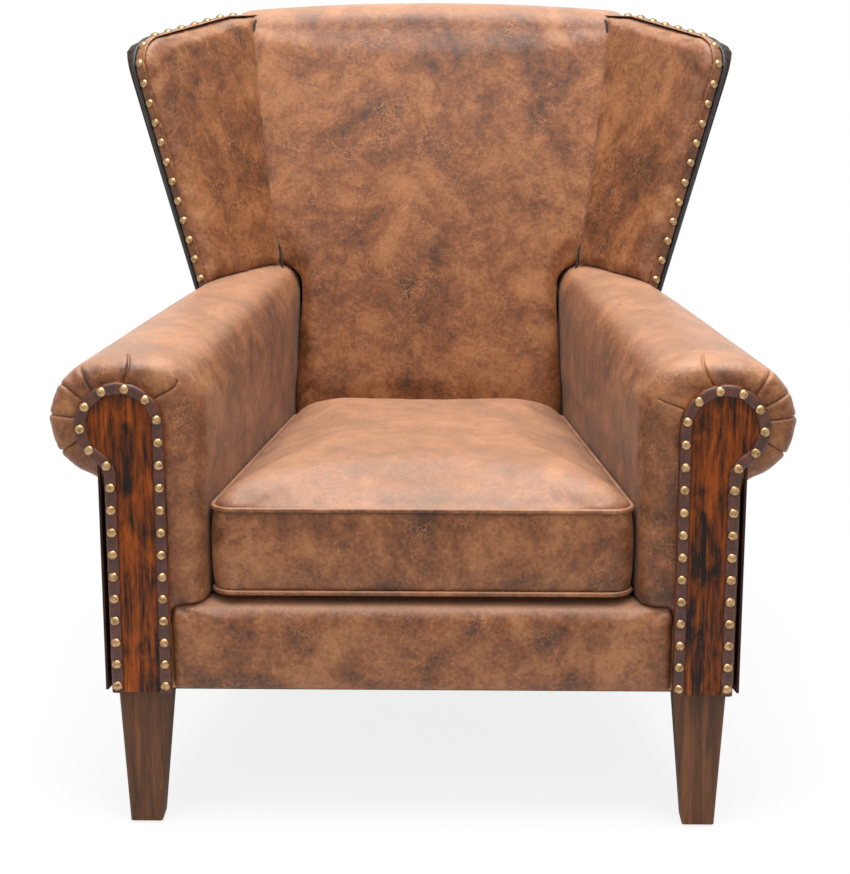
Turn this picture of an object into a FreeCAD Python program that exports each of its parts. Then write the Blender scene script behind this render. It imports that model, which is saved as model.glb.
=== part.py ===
"""Wingback armchair with rolled arms, nailed facings and a loose box cushion.

The frame is +Z up, with the sitter facing -Y. The origin is on the floor, below the
middle of the chair. Everything is in millimetres. Left means the -X side.
"""
import FreeCAD, Part
import Sketcher
import math
import os
from FreeCAD import Placement, Rotation, Vector

doc = FreeCAD.newDocument("wingback_armchair")
sheet = doc.addObject("Spreadsheet::Sheet", "sizes")

# Driving sizes, in millimetres and degrees
SIZES = [
    ("overall_width", 900),
    ("overall_depth", 829),
    ("leg_height", 175),
    ("glide_height", 3),
    ("glide_width", 24),
    ("front_leg_top", 64),
    ("front_leg_foot", 40),
    ("front_leg_splay", 2),
    ("front_leg_lead", 17),
    ("front_leg_setback", 12),
    ("rear_leg_top", 50),
    ("rear_leg_foot", 36),
    ("rear_leg_rake", 56),
    ("leg_ease", 2.5),
    ("base_width_front", 784),
    ("base_width_rear", 580),
    ("rail_height", 84),
    ("rail_thickness", 22),
    ("front_pad", 6),
    ("border_radius", 20),
    ("border_depth", 58),
    ("block_size", 75),
    ("block_height", 40),
    ("plate_size", 48),
    ("plate_thickness", 3),
    ("bolt_width", 8),
    ("bolt_length", 62),
    ("bolt_inset", 10),
    ("bolt_gap", 0.2),
    ("leather", 2),
    ("hide", 3),
    ("deck_height", 289),
    ("deck_pad", 19),
    ("spring_wire", 4),
    ("spring_count", 5),
    ("spring_loop", 46),
    ("spring_spread", 72),
    ("spring_margin", 111.9),
    ("clip_width", 24),
    ("clip_depth", 16),
    ("clip_plate", 2),
    ("clip_wall", 3),
    ("clip_lid", 1.5),
    ("cushion_front", 526),
    ("cushion_rear", 390),
    ("cushion_depth", 525),
    ("cushion_setback", 20),
    ("cushion_boxing", 106),
    ("cushion_crown", 30),
    ("cushion_belly", 11),
    ("cushion_corner", 26),
    ("cushion_draw", 4),
    ("cushion_gap", 4),
    ("cushion_rest", 0.4),
    ("welt", 6),
    ("arm_height_front", 595),
    ("arm_height_rear", 622),
    ("roll_front", 75),
    ("roll_rear", 50),
    ("roll_overhang_rear", 14),
    ("arm_corner_front", 60),
    ("arm_corner_rear", 35),
    ("arm_pad", 45),
    ("arm_nose", 26),
    ("arm_board_width", 78),
    ("arm_board_thickness", 22),
    ("arm_board_drop", 39),
    ("facing_width", 74),
    ("facing_inset", 9),
    ("facing_head", 54),
    ("facing_head_height", 516),
    ("facing_neck", 20),
    ("facing_thickness", 8),
    ("stump_margin", 2),
    ("strip_width", 15),
    ("strip_thickness", 2),
    ("nail_width", 11),
    ("nail_height", 3),
    ("nail_length", 22),
    ("nail_shank", 1.6),
    ("nail_pitch", 28),
    ("nail_margin", 9),
    ("wing_nail_start", 72),
    ("back_height", 993),
    ("back_height_side", 981),
    ("back_pad", 70),
    ("back_crown", 14),
    ("back_round", 42),
    ("back_rear_round", 26),
    ("back_bend_height", 435),
    ("webbing", 3),
    ("webbing_width", 50),
    ("webbing_rise", 38),
    ("webbing_drop", 35),
    ("post_width", 45),
    ("post_depth", 60),
    ("post_height", 955),
    ("crest_height", 70),
    ("wing_seam_width", 419),
    ("wing_seam_height", 612),
    ("wing_splay", 37),
    ("wing_lean", 15.4),
    ("wing_reach_low", 165),
    ("wing_reach_high", 197),
    ("wing_height_front", 350),
    ("wing_height_rear", 381),
    ("wing_corner", 48),
    ("wing_thickness", 28),
    ("wing_nose", 9),
    ("wing_board", 15),
    ("wing_band", 18),
    ("dust_cover", 1.5),
]
for row, (alias, value) in enumerate(SIZES, start=1):
    sheet.set(f"A{row}", alias)
    sheet.set(f"B{row}", str(value))
    sheet.setAlias(f"B{row}", alias)
doc.recompute()


def size(alias):
    """The value of one driving size."""
    return float(sheet.get(alias))


# Places worked out from the driving sizes, which several pieces share
places = doc.addObject("Spreadsheet::Sheet", "places")
PLACES = [
    ("facing_front", "-sizes.overall_depth / 2 + sizes.nail_height + sizes.strip_thickness"),
    ("frame_front", "facing_front + sizes.facing_thickness + sizes.leather"),
    ("stump_back", "frame_front + sizes.front_pad + sizes.rail_thickness"),
    ("cushion_front_y", "facing_front + sizes.cushion_setback"),
    ("back_face", "cushion_front_y + sizes.cushion_depth + sizes.cushion_gap"),
    ("post_front", "back_face + sizes.leather + sizes.back_pad + sizes.webbing"),
    ("post_back", "post_front + sizes.post_depth"),
    ("base_back", "post_back + sizes.hide"),
    ("back_slope", "(sizes.overall_depth / 2 - base_back) / (sizes.post_height - sizes.back_bend_height)"),
    ("side_slope", "(sizes.base_width_front - sizes.base_width_rear) / 2 / (base_back - frame_front)"),
    ("seat_slope", "(sizes.cushion_front - sizes.cushion_rear) / 2 / sizes.cushion_depth"),
    ("frame_foot", "sizes.leg_height + sizes.plate_thickness"),
    ("rail_top", "frame_foot + sizes.rail_height"),
    ("border_top", "sizes.deck_height - sizes.leather"),
    ("facing_right", "-sizes.base_width_front / 2 + sizes.facing_inset + sizes.facing_width"),
    ("leg_x_front", "sizes.base_width_front / 2 - sizes.hide - sizes.front_leg_setback"
                    " - sizes.front_leg_top / 2"),
    ("leg_y_front", "frame_front + 2 + sizes.front_leg_top / 2"),
    ("leg_x_rear", "sizes.base_width_rear / 2 - sizes.hide - sizes.post_width / 2"),
    ("leg_y_rear", "post_front + sizes.post_depth / 2"),
]
KNOWN = [alias for alias, _ in PLACES]
for row, (alias, formula) in enumerate(PLACES, start=1):
    places.set(f"A{row}", alias)
    places.set(f"B{row}", "=" + formula)
    places.setAlias(f"B{row}", alias)
doc.recompute()


def place(alias):
    """The value of one worked-out place."""
    return float(places.get(alias))


def number(formula):
    """A formula on the two sheets, worked out as a plain number."""
    return float(sheet.evalExpression(formula))


# Helpers that make bound sketches and bodies

def start_body(name):
    """An empty body for one piece of the chair."""
    body = doc.addObject("PartDesign::Body", name)
    body.Label = name
    return body


def start_sketch(body, role, offset):
    """A sketch parallel to one of the body's own planes, moved along its normal."""
    plane = [feature for feature in body.Origin.OriginFeatures if feature.Role == role][0]
    sketch = body.newObject("Sketcher::SketchObject", body.Name + "_sketch")
    sketch.AttachmentSupport = [(plane, "")]
    sketch.MapMode = "FlatFace"
    sketch.setExpression("AttachmentOffset.Base.z", offset)
    return sketch


def bind(sketch, kind, first, second, formula):
    """Add one dimension to a sketch and bind it to a formula on the sheets."""
    ends = (*first, *second) if second else first
    index = sketch.addConstraint(Sketcher.Constraint(kind, *ends, number(formula)))
    sketch.setExpression(f"Constraints[{index}]", formula)


def add_outline(sketch, corners):
    """Draw a closed outline of straight lines through corners given as two formulas each."""
    spots = [Vector(number(across), number(along), 0) for across, along in corners]
    first = sketch.GeometryCount
    count = len(corners)
    for index in range(count):
        sketch.addGeometry(Part.LineSegment(spots[index], spots[(index + 1) % count]), False)
    for index in range(count):
        nearby = first + (index + 1) % count
        sketch.addConstraint(Sketcher.Constraint("Coincident", first + index, 2, nearby, 1))
    for index, (across, along) in enumerate(corners):
        bind(sketch, "DistanceX", (-1, 1), (first + index, 1), across)
        bind(sketch, "DistanceY", (-1, 1), (first + index, 1), along)


def add_circle(sketch, across, along, radius):
    """Draw a circle whose centre and radius are formulas."""
    centre = Vector(number(across), number(along), 0)
    circle = Part.Circle(centre, Vector(0, 0, 1), number(radius))
    index = sketch.addGeometry(circle, False)
    bind(sketch, "DistanceX", (-1, 1), (index, 3), across)
    bind(sketch, "DistanceY", (-1, 1), (index, 3), along)
    bind(sketch, "Radius", (index,), None, radius)


def add_pad(body, sketch, length):
    """Pad a sketch of the body along its plane's normal."""
    pad = body.newObject("PartDesign::Pad", body.Name + "_pad")
    pad.Profile = sketch
    pad.setExpression("Length", length)
    sketch.Visibility = False
    return pad


def add_pocket(body, sketch):
    """Cut a sketch right through the body, both ways from its plane."""
    pocket = body.newObject("PartDesign::Pocket", body.Name + "_pocket")
    pocket.Profile = sketch
    pocket.Type = "ThroughAll"
    pocket.Midplane = True
    sketch.Visibility = False
    return pocket


def prism(name, role, offset, length, corners):
    """One board, rail or sheet: a bound outline padded to a bound length."""
    body = start_body(name)
    sketch = start_sketch(body, role, offset)
    add_outline(sketch, corners)
    add_pad(body, sketch, length)
    return body


def box_corners(left, right, low, high):
    """The four corners of a rectangle given by its sides."""
    return [(left, low), (right, low), (right, high), (left, high)]


def mirrored(name, source):
    """The right-hand piece made from its left-hand twin."""
    piece = doc.addObject("Part::Mirroring", name)
    piece.Label = name
    piece.Source = source
    piece.Normal = (1, 0, 0)
    return piece


def formed(name, shape):
    """A soft, wound or trimmed piece whose form is worked out from the sheets."""
    piece = doc.addObject("Part::Feature", name)
    piece.Label = name
    piece.Shape = shape
    return piece


def shape_of(piece):
    """A copy of the shape of one piece, brought up to date."""
    doc.recompute()
    return piece.Shape.copy()

pieces = []

# Frame of boards and rails, left hand first where there are two
foot = "places.frame_foot"
rail = "sizes.rail_height"
board = "sizes.rail_thickness"
stump_right = "(places.facing_right - sizes.stump_margin)"
stump_left = "(places.facing_right - sizes.facing_width + sizes.stump_margin)"
stump_face = "(places.stump_back - sizes.rail_thickness)"
post_outer = "(-sizes.base_width_rear / 2 + sizes.hide)"
post_inner = "(-sizes.base_width_rear / 2 + sizes.hide + sizes.post_width)"
lean = "places.back_slope * (sizes.post_height - sizes.back_bend_height)"
hide_line = "(-sizes.base_width_front / 2 + sizes.hide + places.side_slope * ({} - places.frame_front))"

front_rail = prism("front_rail", "XY_Plane", foot, rail,
                   box_corners(stump_right, f"-{stump_right}", stump_face, "places.stump_back"))
back_rail = prism("back_rail", "XY_Plane", foot, rail,
                  box_corners(post_inner, f"-{post_inner}",
                              "places.post_front", f"places.post_front + {board}"))
side_front = hide_line.format("places.stump_back")
side_rear = hide_line.format("places.post_front")
side_rail_left = prism("side_rail_left", "XY_Plane", foot, rail, [
    (side_front, "places.stump_back"),
    (f"{side_front} + {board}", "places.stump_back"),
    (f"{side_rear} + {board}", "places.post_front"),
    (side_rear, "places.post_front"),
])
post_profile = [
    ("places.post_front", foot),
    ("places.post_back", foot),
    ("places.post_back", "sizes.back_bend_height"),
    (f"places.post_back + {lean}", "sizes.post_height"),
    (f"places.post_front + {lean}", "sizes.post_height"),
    ("places.post_front", "sizes.back_bend_height"),
]
back_post_left = prism("back_post_left", "YZ_Plane", post_outer, "sizes.post_width", post_profile)
back_span = f"-2 * {post_inner}"


def lean_corners(low, high, front, depth):
    """A leaning cross-section between two heights, as deep as given."""
    reach = "{} + places.back_slope * ({} - sizes.back_bend_height)"
    return [
        (reach.format(front, low), low),
        (reach.format(f"{front} + {depth}", low), low),
        (reach.format(f"{front} + {depth}", high), high),
        (reach.format(front, high), high),
    ]


crest_rail = prism("crest_rail", "YZ_Plane", post_inner, back_span,
                   lean_corners("sizes.post_height - sizes.crest_height", "sizes.post_height",
                                "places.post_front", "sizes.post_depth"))
tack_rail = prism("back_tack_rail", "YZ_Plane", post_inner, back_span,
                  lean_corners("sizes.back_bend_height + 5", "sizes.back_bend_height + 50",
                               "places.post_front", board))
pieces += [front_rail, back_rail, side_rail_left, back_post_left, crest_rail, tack_rail]


def facing_shape(name, margin, face, depth):
    """A strip with a round head, drawn in by a margin, at one depth of the arm front."""
    body = start_body(name)
    right = f"places.facing_right - {margin}"
    left = f"places.facing_right - sizes.facing_width + {margin}"
    sketch = start_sketch(body, "XZ_Plane", f"-({face})")
    add_outline(sketch, box_corners(left, right, foot, "sizes.facing_head_height"))
    add_pad(body, sketch, depth)
    head = start_sketch(body, "XZ_Plane", f"-({face})")
    add_circle(head, "places.facing_right - sizes.facing_head", "sizes.facing_head_height",
               f"sizes.facing_head - {margin}")
    add_pad(body, head, depth)
    doc.recompute()
    round_neck(body, number(left), margin)
    return body


def upright_edges(shape, across, low, high):
    """Names of the edges that run front to back at one place across, between two heights."""
    names = []
    for index, edge in enumerate(shape.Edges, start=1):
        ends = [vertex.Point for vertex in edge.Vertexes]
        if len(ends) != 2 or abs(ends[0].z - ends[1].z) > 0.01 or abs(ends[0].x - ends[1].x) > 0.01:
            continue
        if abs(ends[0].x - across) < 0.01 and low < ends[0].z < high:
            names.append(f"Edge{index}")
    return names


def round_neck(body, left, margin):
    """Round the inward corner where the head of a facing meets its strip."""
    low = size("facing_head_height") - size("facing_head")
    high = size("facing_head_height") - 1
    blank = body.Tip
    edges = upright_edges(blank.Shape, left, low, high)
    neck = body.newObject("PartDesign::Fillet", body.Name + "_neck")
    neck.Base = (blank, edges)
    neck.setExpression("Radius", f"sizes.facing_neck + {margin}")
    doc.recompute()


stump_left_piece = facing_shape("arm_stump_left", "sizes.stump_margin",
                                "places.stump_back", board)
pieces += [stump_left_piece]

# Corner blocks, legs, plates, bolts and glides
block_front = prism("corner_block_front_left", "XY_Plane", foot, "sizes.block_height", [
    (f"{side_front} + {board}", "places.stump_back"),
    (f"{side_front} + {board} + sizes.block_size", "places.stump_back"),
    (f"{hide_line.format('(places.stump_back + sizes.block_size)')} + {board}",
     "places.stump_back + sizes.block_size"),
])
pieces += [block_front]


def square(centre_x, centre_y, width):
    """The corners of a square about a centre."""
    return box_corners(f"{centre_x} - {width} / 2", f"{centre_x} + {width} / 2",
                       f"{centre_y} - {width} / 2", f"{centre_y} + {width} / 2")


def leg(name, centre_x, centre_y, top, bottom, shift_x, shift_y, hole_x, hole_y):
    """A square tapering leg, leaning by a shift, with a bolt hole down its top."""
    blank = doc.addObject("Part::Wedge", name + "_blank")
    # The wedge is drawn lying down and then stood up, so its own Z runs forward
    for prefix, across, along, width in (
            ("", f"{centre_x} + {shift_x}", f"{centre_y} + {shift_y}", bottom),
            ("2", centre_x, centre_y, top)):
        blank.setExpression(f"X{prefix}min", f"{across} - {width} / 2")
        blank.setExpression(f"X{prefix}max", f"{across} + {width} / 2")
        blank.setExpression(f"Z{prefix}min", f"-({along}) - {width} / 2")
        blank.setExpression(f"Z{prefix}max", f"-({along}) + {width} / 2")
    blank.setExpression("Ymin", "sizes.glide_height")
    blank.setExpression("Ymax", "sizes.leg_height")
    blank.Placement = Placement(Vector(0, 0, 0), Rotation(Vector(1, 0, 0), 90))
    doc.recompute()
    eased = doc.addObject("Part::Chamfer", name + "_eased")
    eased.Base = blank
    eased.Edges = [(index, size("leg_ease"), size("leg_ease"))
                   for index, edge in enumerate(blank.Shape.Edges, start=1)
                   if edge.BoundBox.ZLength > 1]
    bore = doc.addObject("Part::Cylinder", name + "_bore")
    bore.setExpression("Radius", "(sizes.bolt_width + sizes.bolt_gap) / 2")
    bore.setExpression("Height", "sizes.bolt_length - sizes.block_height + 5")
    bore.setExpression("Placement.Base.x", hole_x)
    bore.setExpression("Placement.Base.y", hole_y)
    bore.setExpression("Placement.Base.z", "sizes.leg_height - (sizes.bolt_length - sizes.block_height + 5)")
    bored = doc.addObject("Part::Cut", name)
    bored.Label = name
    bored.Base = eased
    bored.Tool = bore
    return bored


def bored_plate(name, centre_x, centre_y, hole_x, hole_y):
    """The steel plate between a leg and the frame, with its bolt hole."""
    body = prism(name, "XY_Plane", "sizes.leg_height", "sizes.plate_thickness",
                 square(centre_x, centre_y, "sizes.plate_size"))
    hole = start_sketch(body, "XY_Plane", "sizes.leg_height")
    add_circle(hole, hole_x, hole_y, "(sizes.bolt_width + sizes.bolt_gap) / 2")
    add_pocket(body, hole)
    return body


def turned(name, centre_x, centre_y, low, length, radius):
    """A round pin or disc standing on a height."""
    body = start_body(name)
    sketch = start_sketch(body, "XY_Plane", low)
    add_circle(sketch, centre_x, centre_y, radius)
    add_pad(body, sketch, length)
    return body


bolt_low = "sizes.leg_height - sizes.bolt_length + sizes.block_height"
LEGS = [
    ("front", "-places.leg_x_front", "places.leg_y_front", "sizes.front_leg_top",
     "sizes.front_leg_foot", "-sizes.front_leg_splay", "-sizes.front_leg_lead",
     "-places.leg_x_front + sizes.bolt_inset", "places.leg_y_front + sizes.bolt_inset"),
    ("rear", "-places.leg_x_rear", "places.leg_y_rear", "sizes.rear_leg_top",
     "sizes.rear_leg_foot", "0 * sizes.hide", "sizes.rear_leg_rake",
     "-places.leg_x_rear", "places.leg_y_rear"),
]
for end, x, y, top, bottom, shift_x, shift_y, hole_x, hole_y in LEGS:
    bored = block_front if end == "front" else back_post_left
    bore = start_sketch(bored, "XY_Plane", foot)
    add_circle(bore, hole_x, hole_y, "(sizes.bolt_width + sizes.bolt_gap) / 2")
    socket = bored.newObject("PartDesign::Pocket", f"{bored.Name}_bore")
    socket.Profile = bore
    socket.Reversed = True
    socket.setExpression("Length", "sizes.block_height")
    bore.Visibility = False
    leg_piece = leg(f"leg_{end}_left", x, y, top, bottom, shift_x, shift_y, hole_x, hole_y)
    plate = bored_plate(f"leg_plate_{end}_left", x, y, hole_x, hole_y)
    bolt = turned(f"leg_bolt_{end}_left", hole_x, hole_y, bolt_low, "sizes.bolt_length",
                  "sizes.bolt_width / 2")
    glide = turned(f"glide_{end}_left", f"{x} + {shift_x}", f"{y} + {shift_y}", "0 * sizes.hide",
                   "sizes.glide_height", "sizes.glide_width / 2")
    pieces += [leg_piece, plate, bolt, glide]


# Flat sheets: the hide down the outside of each arm, the outside back and the dust cover
outer_rear = "-sizes.base_width_rear / 2"
wing_foot = "sizes.wing_seam_height - 10"
wall_front = "(places.facing_front + sizes.facing_thickness)"
outside_arm_sheet = prism("outside_arm_sheet", "XY_Plane", foot, f"{wing_foot} - {foot}", [
    (f"{hide_line.format(wall_front)} - sizes.hide", wall_front),
    (hide_line.format(wall_front), wall_front),
    (f"{outer_rear} + sizes.hide", "places.base_back"),
    (f"{outer_rear} + sizes.hide", "sizes.overall_depth / 2"),
    (outer_rear, "sizes.overall_depth / 2"),
    (outer_rear, "places.base_back"),
])
outside_back = prism("outside_back", "YZ_Plane", outer_rear, f"-2 * ({outer_rear})", [
    ("places.post_back", foot),
    ("places.base_back", foot),
    ("places.base_back", "sizes.back_bend_height"),
    (f"places.base_back + {lean}", "sizes.post_height"),
    (f"places.post_back + {lean}", "sizes.post_height"),
    ("places.post_back", "sizes.back_bend_height"),
])
leg_clear = "(sizes.front_leg_top / 2 + 3)"
rear_clear = "(sizes.rear_leg_top / 2 + 3)"
near = "(places.frame_front + sizes.front_pad)"
beside = hide_line.format(f"(places.leg_y_front + {leg_clear})")
behind = hide_line.format(f"(places.leg_y_rear - {rear_clear})")
dust_left = [
    (f"-places.leg_x_front + {leg_clear}", near),
    (f"-places.leg_x_front + {leg_clear}", f"places.leg_y_front + {leg_clear}"),
    (f"{beside} + 4", f"places.leg_y_front + {leg_clear}"),
    (f"{behind} + 4", f"places.leg_y_rear - {rear_clear}"),
    (f"-places.leg_x_rear + {rear_clear}", f"places.leg_y_rear - {rear_clear}"),
    (f"-places.leg_x_rear + {rear_clear}", f"places.post_front + {board}"),
]
dust_right = [(f"-({across})", along) for across, along in reversed(dust_left)]
dust_cover = prism("dust_cover", "XY_Plane", f"{foot} - sizes.dust_cover", "sizes.dust_cover",
                   dust_left + dust_right)
pieces += [outside_back, dust_cover]

# Sections of the padded arm, which runs from the front wall to the back
wall = number(wall_front)
arm_end = place("post_front") - size("webbing")
above_bend = size("arm_height_rear") - size("back_bend_height")
arm_far = place("base_back") + place("back_slope") * above_bend + 5
widest = wall + size("arm_nose")
leather = size("leather")
hide = size("hide")
snug = 0.2


def arm_line(y):
    """The arm's inner face, outer face, roll centre, roll radius, top and corner at one depth."""
    along = (y - widest) / (arm_end - widest)
    inner = -(size("cushion_front") / 2 + size("cushion_gap"))
    inner += place("seat_slope") * (y - place("cushion_front_y"))
    outer = -size("base_width_front") / 2 + place("side_slope") * (y - place("frame_front"))
    radius = size("roll_front") + along * (size("roll_rear") - size("roll_front"))
    over_front = (size("overall_width") - size("base_width_front")) / 2
    over_front += place("side_slope") * (widest - place("frame_front"))
    over = over_front + along * (size("roll_overhang_rear") - over_front)
    top = size("arm_height_front") + along * (size("arm_height_rear") - size("arm_height_front"))
    corner = size("arm_corner_front")
    corner += along * (size("arm_corner_rear") - size("arm_corner_front"))
    return inner, outer, outer - over + radius, radius, top, corner


def arc_through(first, turn, last):
    """An arc edge through three points."""
    return Part.Arc(first, turn, last).toShape()


def round_points(centre, radius, start, stop, steps):
    """Points along an arc, as pairs, from one angle to another."""
    points = []
    for step in range(steps + 1):
        angle = start + (stop - start) * step / steps
        points.append((centre[0] + radius * math.cos(angle), centre[1] + radius * math.sin(angle)))
    return points


def arm_ring(y, inset, side, low):
    """Points round the section of the arm at one depth, drawn in all round."""
    inner, outer, roll_x, radius, top, corner = arm_line(y)
    roll_z = top - radius
    inner -= inset
    outer += side
    radius -= inset
    top -= inset
    corner = max(corner - inset, 2)
    drop = math.sqrt(radius ** 2 - (outer - roll_x) ** 2)
    last = math.atan2(-drop, outer - roll_x) + 2 * math.pi
    points = [(inner, low)]
    points += round_points((inner - corner, top - corner), corner, 0, math.pi / 2, 4)
    points += round_points((roll_x, roll_z), radius, math.pi / 2, last, 11)
    points.append((outer, low))
    return [Vector(x, y, z) for x, z in points]


def flat_sided(rings, closed=False):
    """A solid of flat faces between rings of as many corners each."""
    count = len(rings[0])
    outlines = []
    for low, high in zip(rings, rings[1:] + (rings[:1] if closed else [])):
        for side in range(count):
            other = (side + 1) % count
            quad = [low[side], low[other], high[other], high[side]]
            across = (quad[1] - quad[0]).cross(quad[2] - quad[0])
            # A twisted side is folded along its shorter diagonal, the same way on both hands
            if across.Length and abs(across.normalize().dot(quad[3] - quad[0])) < 0.0001:
                outlines.append(quad)
            elif (quad[2] - quad[0]).Length < (quad[3] - quad[1]).Length:
                outlines += [[quad[0], quad[1], quad[2]], [quad[0], quad[2], quad[3]]]
            else:
                outlines += [[quad[0], quad[1], quad[3]], [quad[1], quad[2], quad[3]]]
    if not closed:
        outlines += [rings[0], rings[-1]]
    faces = [Part.Face(Part.makePolygon(outline + outline[:1])) for outline in outlines]
    solid = Part.Solid(Part.Shell(faces))
    if solid.Volume < 0:
        solid.reverse()
    return solid


def arm_solid(inset, side, low, far):
    """The left arm as one solid, drawn in all round, with its front edge rolled over."""
    nose = size("arm_nose") - inset
    rings = []
    for turn in (90, 60, 30, 0):
        angle = math.radians(turn)
        y = wall + inset + nose * (1 - math.sin(angle))
        rings.append(arm_ring(y, inset + nose * (1 - math.cos(angle)), side, low))
    rings.append(arm_ring(far, inset, side, low))
    return flat_sided(rings)


def block(left, right, near_y, far_y, low, high):
    """A plain box between six planes."""
    return Part.makeBox(right - left, far_y - near_y, high - low, Vector(left, near_y, low))


def arm_rect(y, left, right, low, high):
    """A rectangle standing across the arm."""
    corners = [Vector(left, y, low), Vector(right, y, low),
               Vector(right, y, high), Vector(left, y, high)]
    return Part.makePolygon(corners + corners[:1])


# Cutting blocks reach this far, past every side of the chair
beyond = size("overall_width") + size("overall_depth")
foot_z = place("frame_foot")
seat_z = place("border_top")
stump_back = place("stump_back")
arm_leather = arm_solid(0, hide + snug, foot_z, arm_far)
arm_stuffing = arm_solid(leather, hide - snug, foot_z - 10, arm_far)
below_seat = block(place("facing_right"), 0, -beyond, beyond, foot_z - 20, seat_z)
behind_arm = block(-beyond, 0, arm_end, beyond, 0, beyond)

# The arm board runs from the stump back to the leaning post
board_width = size("arm_board_width")
board_thick = size("arm_board_thickness")
board_x = place("facing_right") - size("facing_head")
post_x = number(post_outer)
board_far = place("post_back")
front_top = size("arm_height_front") - size("arm_board_drop")
rear_top = size("arm_height_rear") - size("arm_board_drop")
arm_board = Part.makeLoft([
    arm_rect(stump_back, board_x - board_width / 2, board_x + board_width / 2,
             front_top - board_thick, front_top),
    arm_rect(board_far, post_x + 4, post_x + size("post_width"), rear_top - board_thick, rear_top),
], True, True)
post_left = shape_of(back_post_left)
arm_board = arm_board.cut(post_left)
arm_board = max(arm_board.Solids, key=lambda lump: -lump.BoundBox.YMin)
arm_board_left = formed("arm_board_left", arm_board)


def hollow_rect(y, left_gap, right_gap, top):
    """The empty space inside the arm at one depth."""
    inner, outer = arm_line(y)[:2]
    return arm_rect(y, outer + left_gap, inner - right_gap, seat_z - 5, top)


wadding = hide + 5
inside_arm = Part.makeLoft([
    hollow_rect(stump_back, wadding, size("arm_pad"), front_top - board_thick + 4),
    hollow_rect(arm_far, wadding, size("arm_pad"), rear_top - board_thick + 4),
], True, True)
sheet_left = shape_of(outside_arm_sheet)
stump_shape = shape_of(stump_left_piece)
arm_cover = arm_leather.cut(arm_stuffing).cut(below_seat).cut(behind_arm)
arm_cover_left = formed("arm_cover_left", arm_cover)
arm_pad = arm_stuffing.cut(block(-beyond, 0, -beyond, beyond, 0, foot_z)).cut(below_seat).cut(behind_arm)
arm_pad = arm_pad.cut(block(-beyond, 0, stump_back, beyond, 0, seat_z))
arm_pad = arm_pad.cut(inside_arm).cut(arm_board).cut(stump_shape).cut(sheet_left)
arm_pad = arm_pad.cut(shape_of(front_rail))
arm_pad_left = formed("arm_pad_left", arm_pad)


def largest(shape):
    """The biggest of the solids in a shape."""
    return max(shape.Solids, key=lambda lump: lump.Volume)


def side_prism(profile, left, right):
    """A prism across the chair from a closed outline of depth and height pairs."""
    corners = [Vector(left, y, z) for y, z in profile]
    face = Part.Face(Part.makePolygon(corners + corners[:1]))
    return face.extrude(Vector(right - left, 0, 0))


slope = place("back_slope")
bend_z = size("back_bend_height")
post_top = size("post_height")
back_rear = place("base_back")
half_depth = size("overall_depth") / 2


def leaning(y, z):
    """How far back a leaning face has come at one height."""
    return y + slope * max(z - bend_z, 0)


rear_y = place("post_back")
back_zone = side_prism([
    (rear_y, -beyond), (rear_y, bend_z), (leaning(rear_y, beyond), beyond),
    (2 * beyond, beyond), (2 * beyond, -beyond),
], -beyond, beyond)
outside_arm = largest(sheet_left.cut(arm_solid(0, hide + snug, foot_z, arm_end)).cut(back_zone))
outside_arm_left = formed("outside_arm_left", outside_arm)
pieces += [arm_board_left, arm_cover_left, arm_pad_left, outside_arm_left]


# The padded back, drawn as sections across the chair
back_half = size("base_width_rear") / 2 - hide


def back_ring(x, inset, low):
    """Points round the section of the padded back at one place across."""
    ratio = (x / back_half) ** 2
    crown = size("back_crown") * (1 - 0.85 * ratio)
    top = size("back_height") - (size("back_height") - size("back_height_side")) * ratio - inset
    face = place("back_face") + inset
    angle = math.atan(slope)
    # The front roll touches the leaning face and the level top
    roll = size("back_round") - inset
    shoulder = top - roll * (1 - math.sin(angle))
    front = leaning(face, shoulder)
    roll_y = front + roll * math.cos(angle)
    # The rear roll touches the level top and comes down to the outside back
    rear = half_depth - inset
    rise = top - post_top
    fall = max(size("back_rear_round") - inset, rise)
    fall = min(fall, rear - roll_y - 2 * leather)
    points = [(face, low), (face, bend_z)]
    for step in range(1, 5):
        z = bend_z + (shoulder - bend_z) * step / 5
        points.append((leaning(face, z) - crown * math.sin(math.pi * step / 5), z))
    points += round_points((roll_y, top - roll), roll, math.pi - angle, math.pi / 2, 4)
    for turn in (90, 60, 30, 0):
        angle = math.radians(turn)
        points.append((rear - fall * (1 - math.cos(angle)), post_top + rise * math.sin(angle)))
    points += [(back_rear, bend_z), (back_rear, low)]
    return [Vector(x, y, z) for y, z in points]


def back_solid(inset, half, low):
    """The padded back as one solid, drawn in all round."""
    return flat_sided([back_ring(half * step / 3, inset, low) for step in range(-3, 4)])


deck_z = size("deck_height")
back_leather = back_solid(0, back_half, deck_z)
back_stuffing = back_solid(leather, back_half - leather, deck_z)
web_y = place("post_front") - size("webbing")
frame_zone = side_prism([
    (web_y, -beyond), (web_y, bend_z), (leaning(web_y, post_top), post_top),
    (beyond, post_top), (beyond, -beyond),
], -beyond, beyond)


def both_hands(shape):
    """A left-hand shape and its mirror image."""
    return [shape, shape.mirror(Vector(0, 0, 0), Vector(1, 0, 0))]


# The wing stands in its own plane: forward and out, up and out, and inward
splay = math.radians(size("wing_splay"))
tilt = math.radians(size("wing_lean"))
wing_out = Vector(-math.sin(splay), -math.cos(splay), 0)
wing_up = Vector(-math.cos(splay) * math.sin(tilt), math.sin(splay) * math.sin(tilt),
                 math.cos(tilt))
wing_in = Vector(math.cos(splay) * math.cos(tilt), -math.sin(splay) * math.cos(tilt),
                 math.sin(tilt))
seam_z = size("wing_seam_height")
seam = Vector(-size("wing_seam_width") / 2, leaning(place("back_face"), seam_z), seam_z)
board_in = size("wing_thickness") - hide - size("wing_board")
board_out = size("wing_thickness") - hide
wing_below = -60
wing_behind = -160


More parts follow.
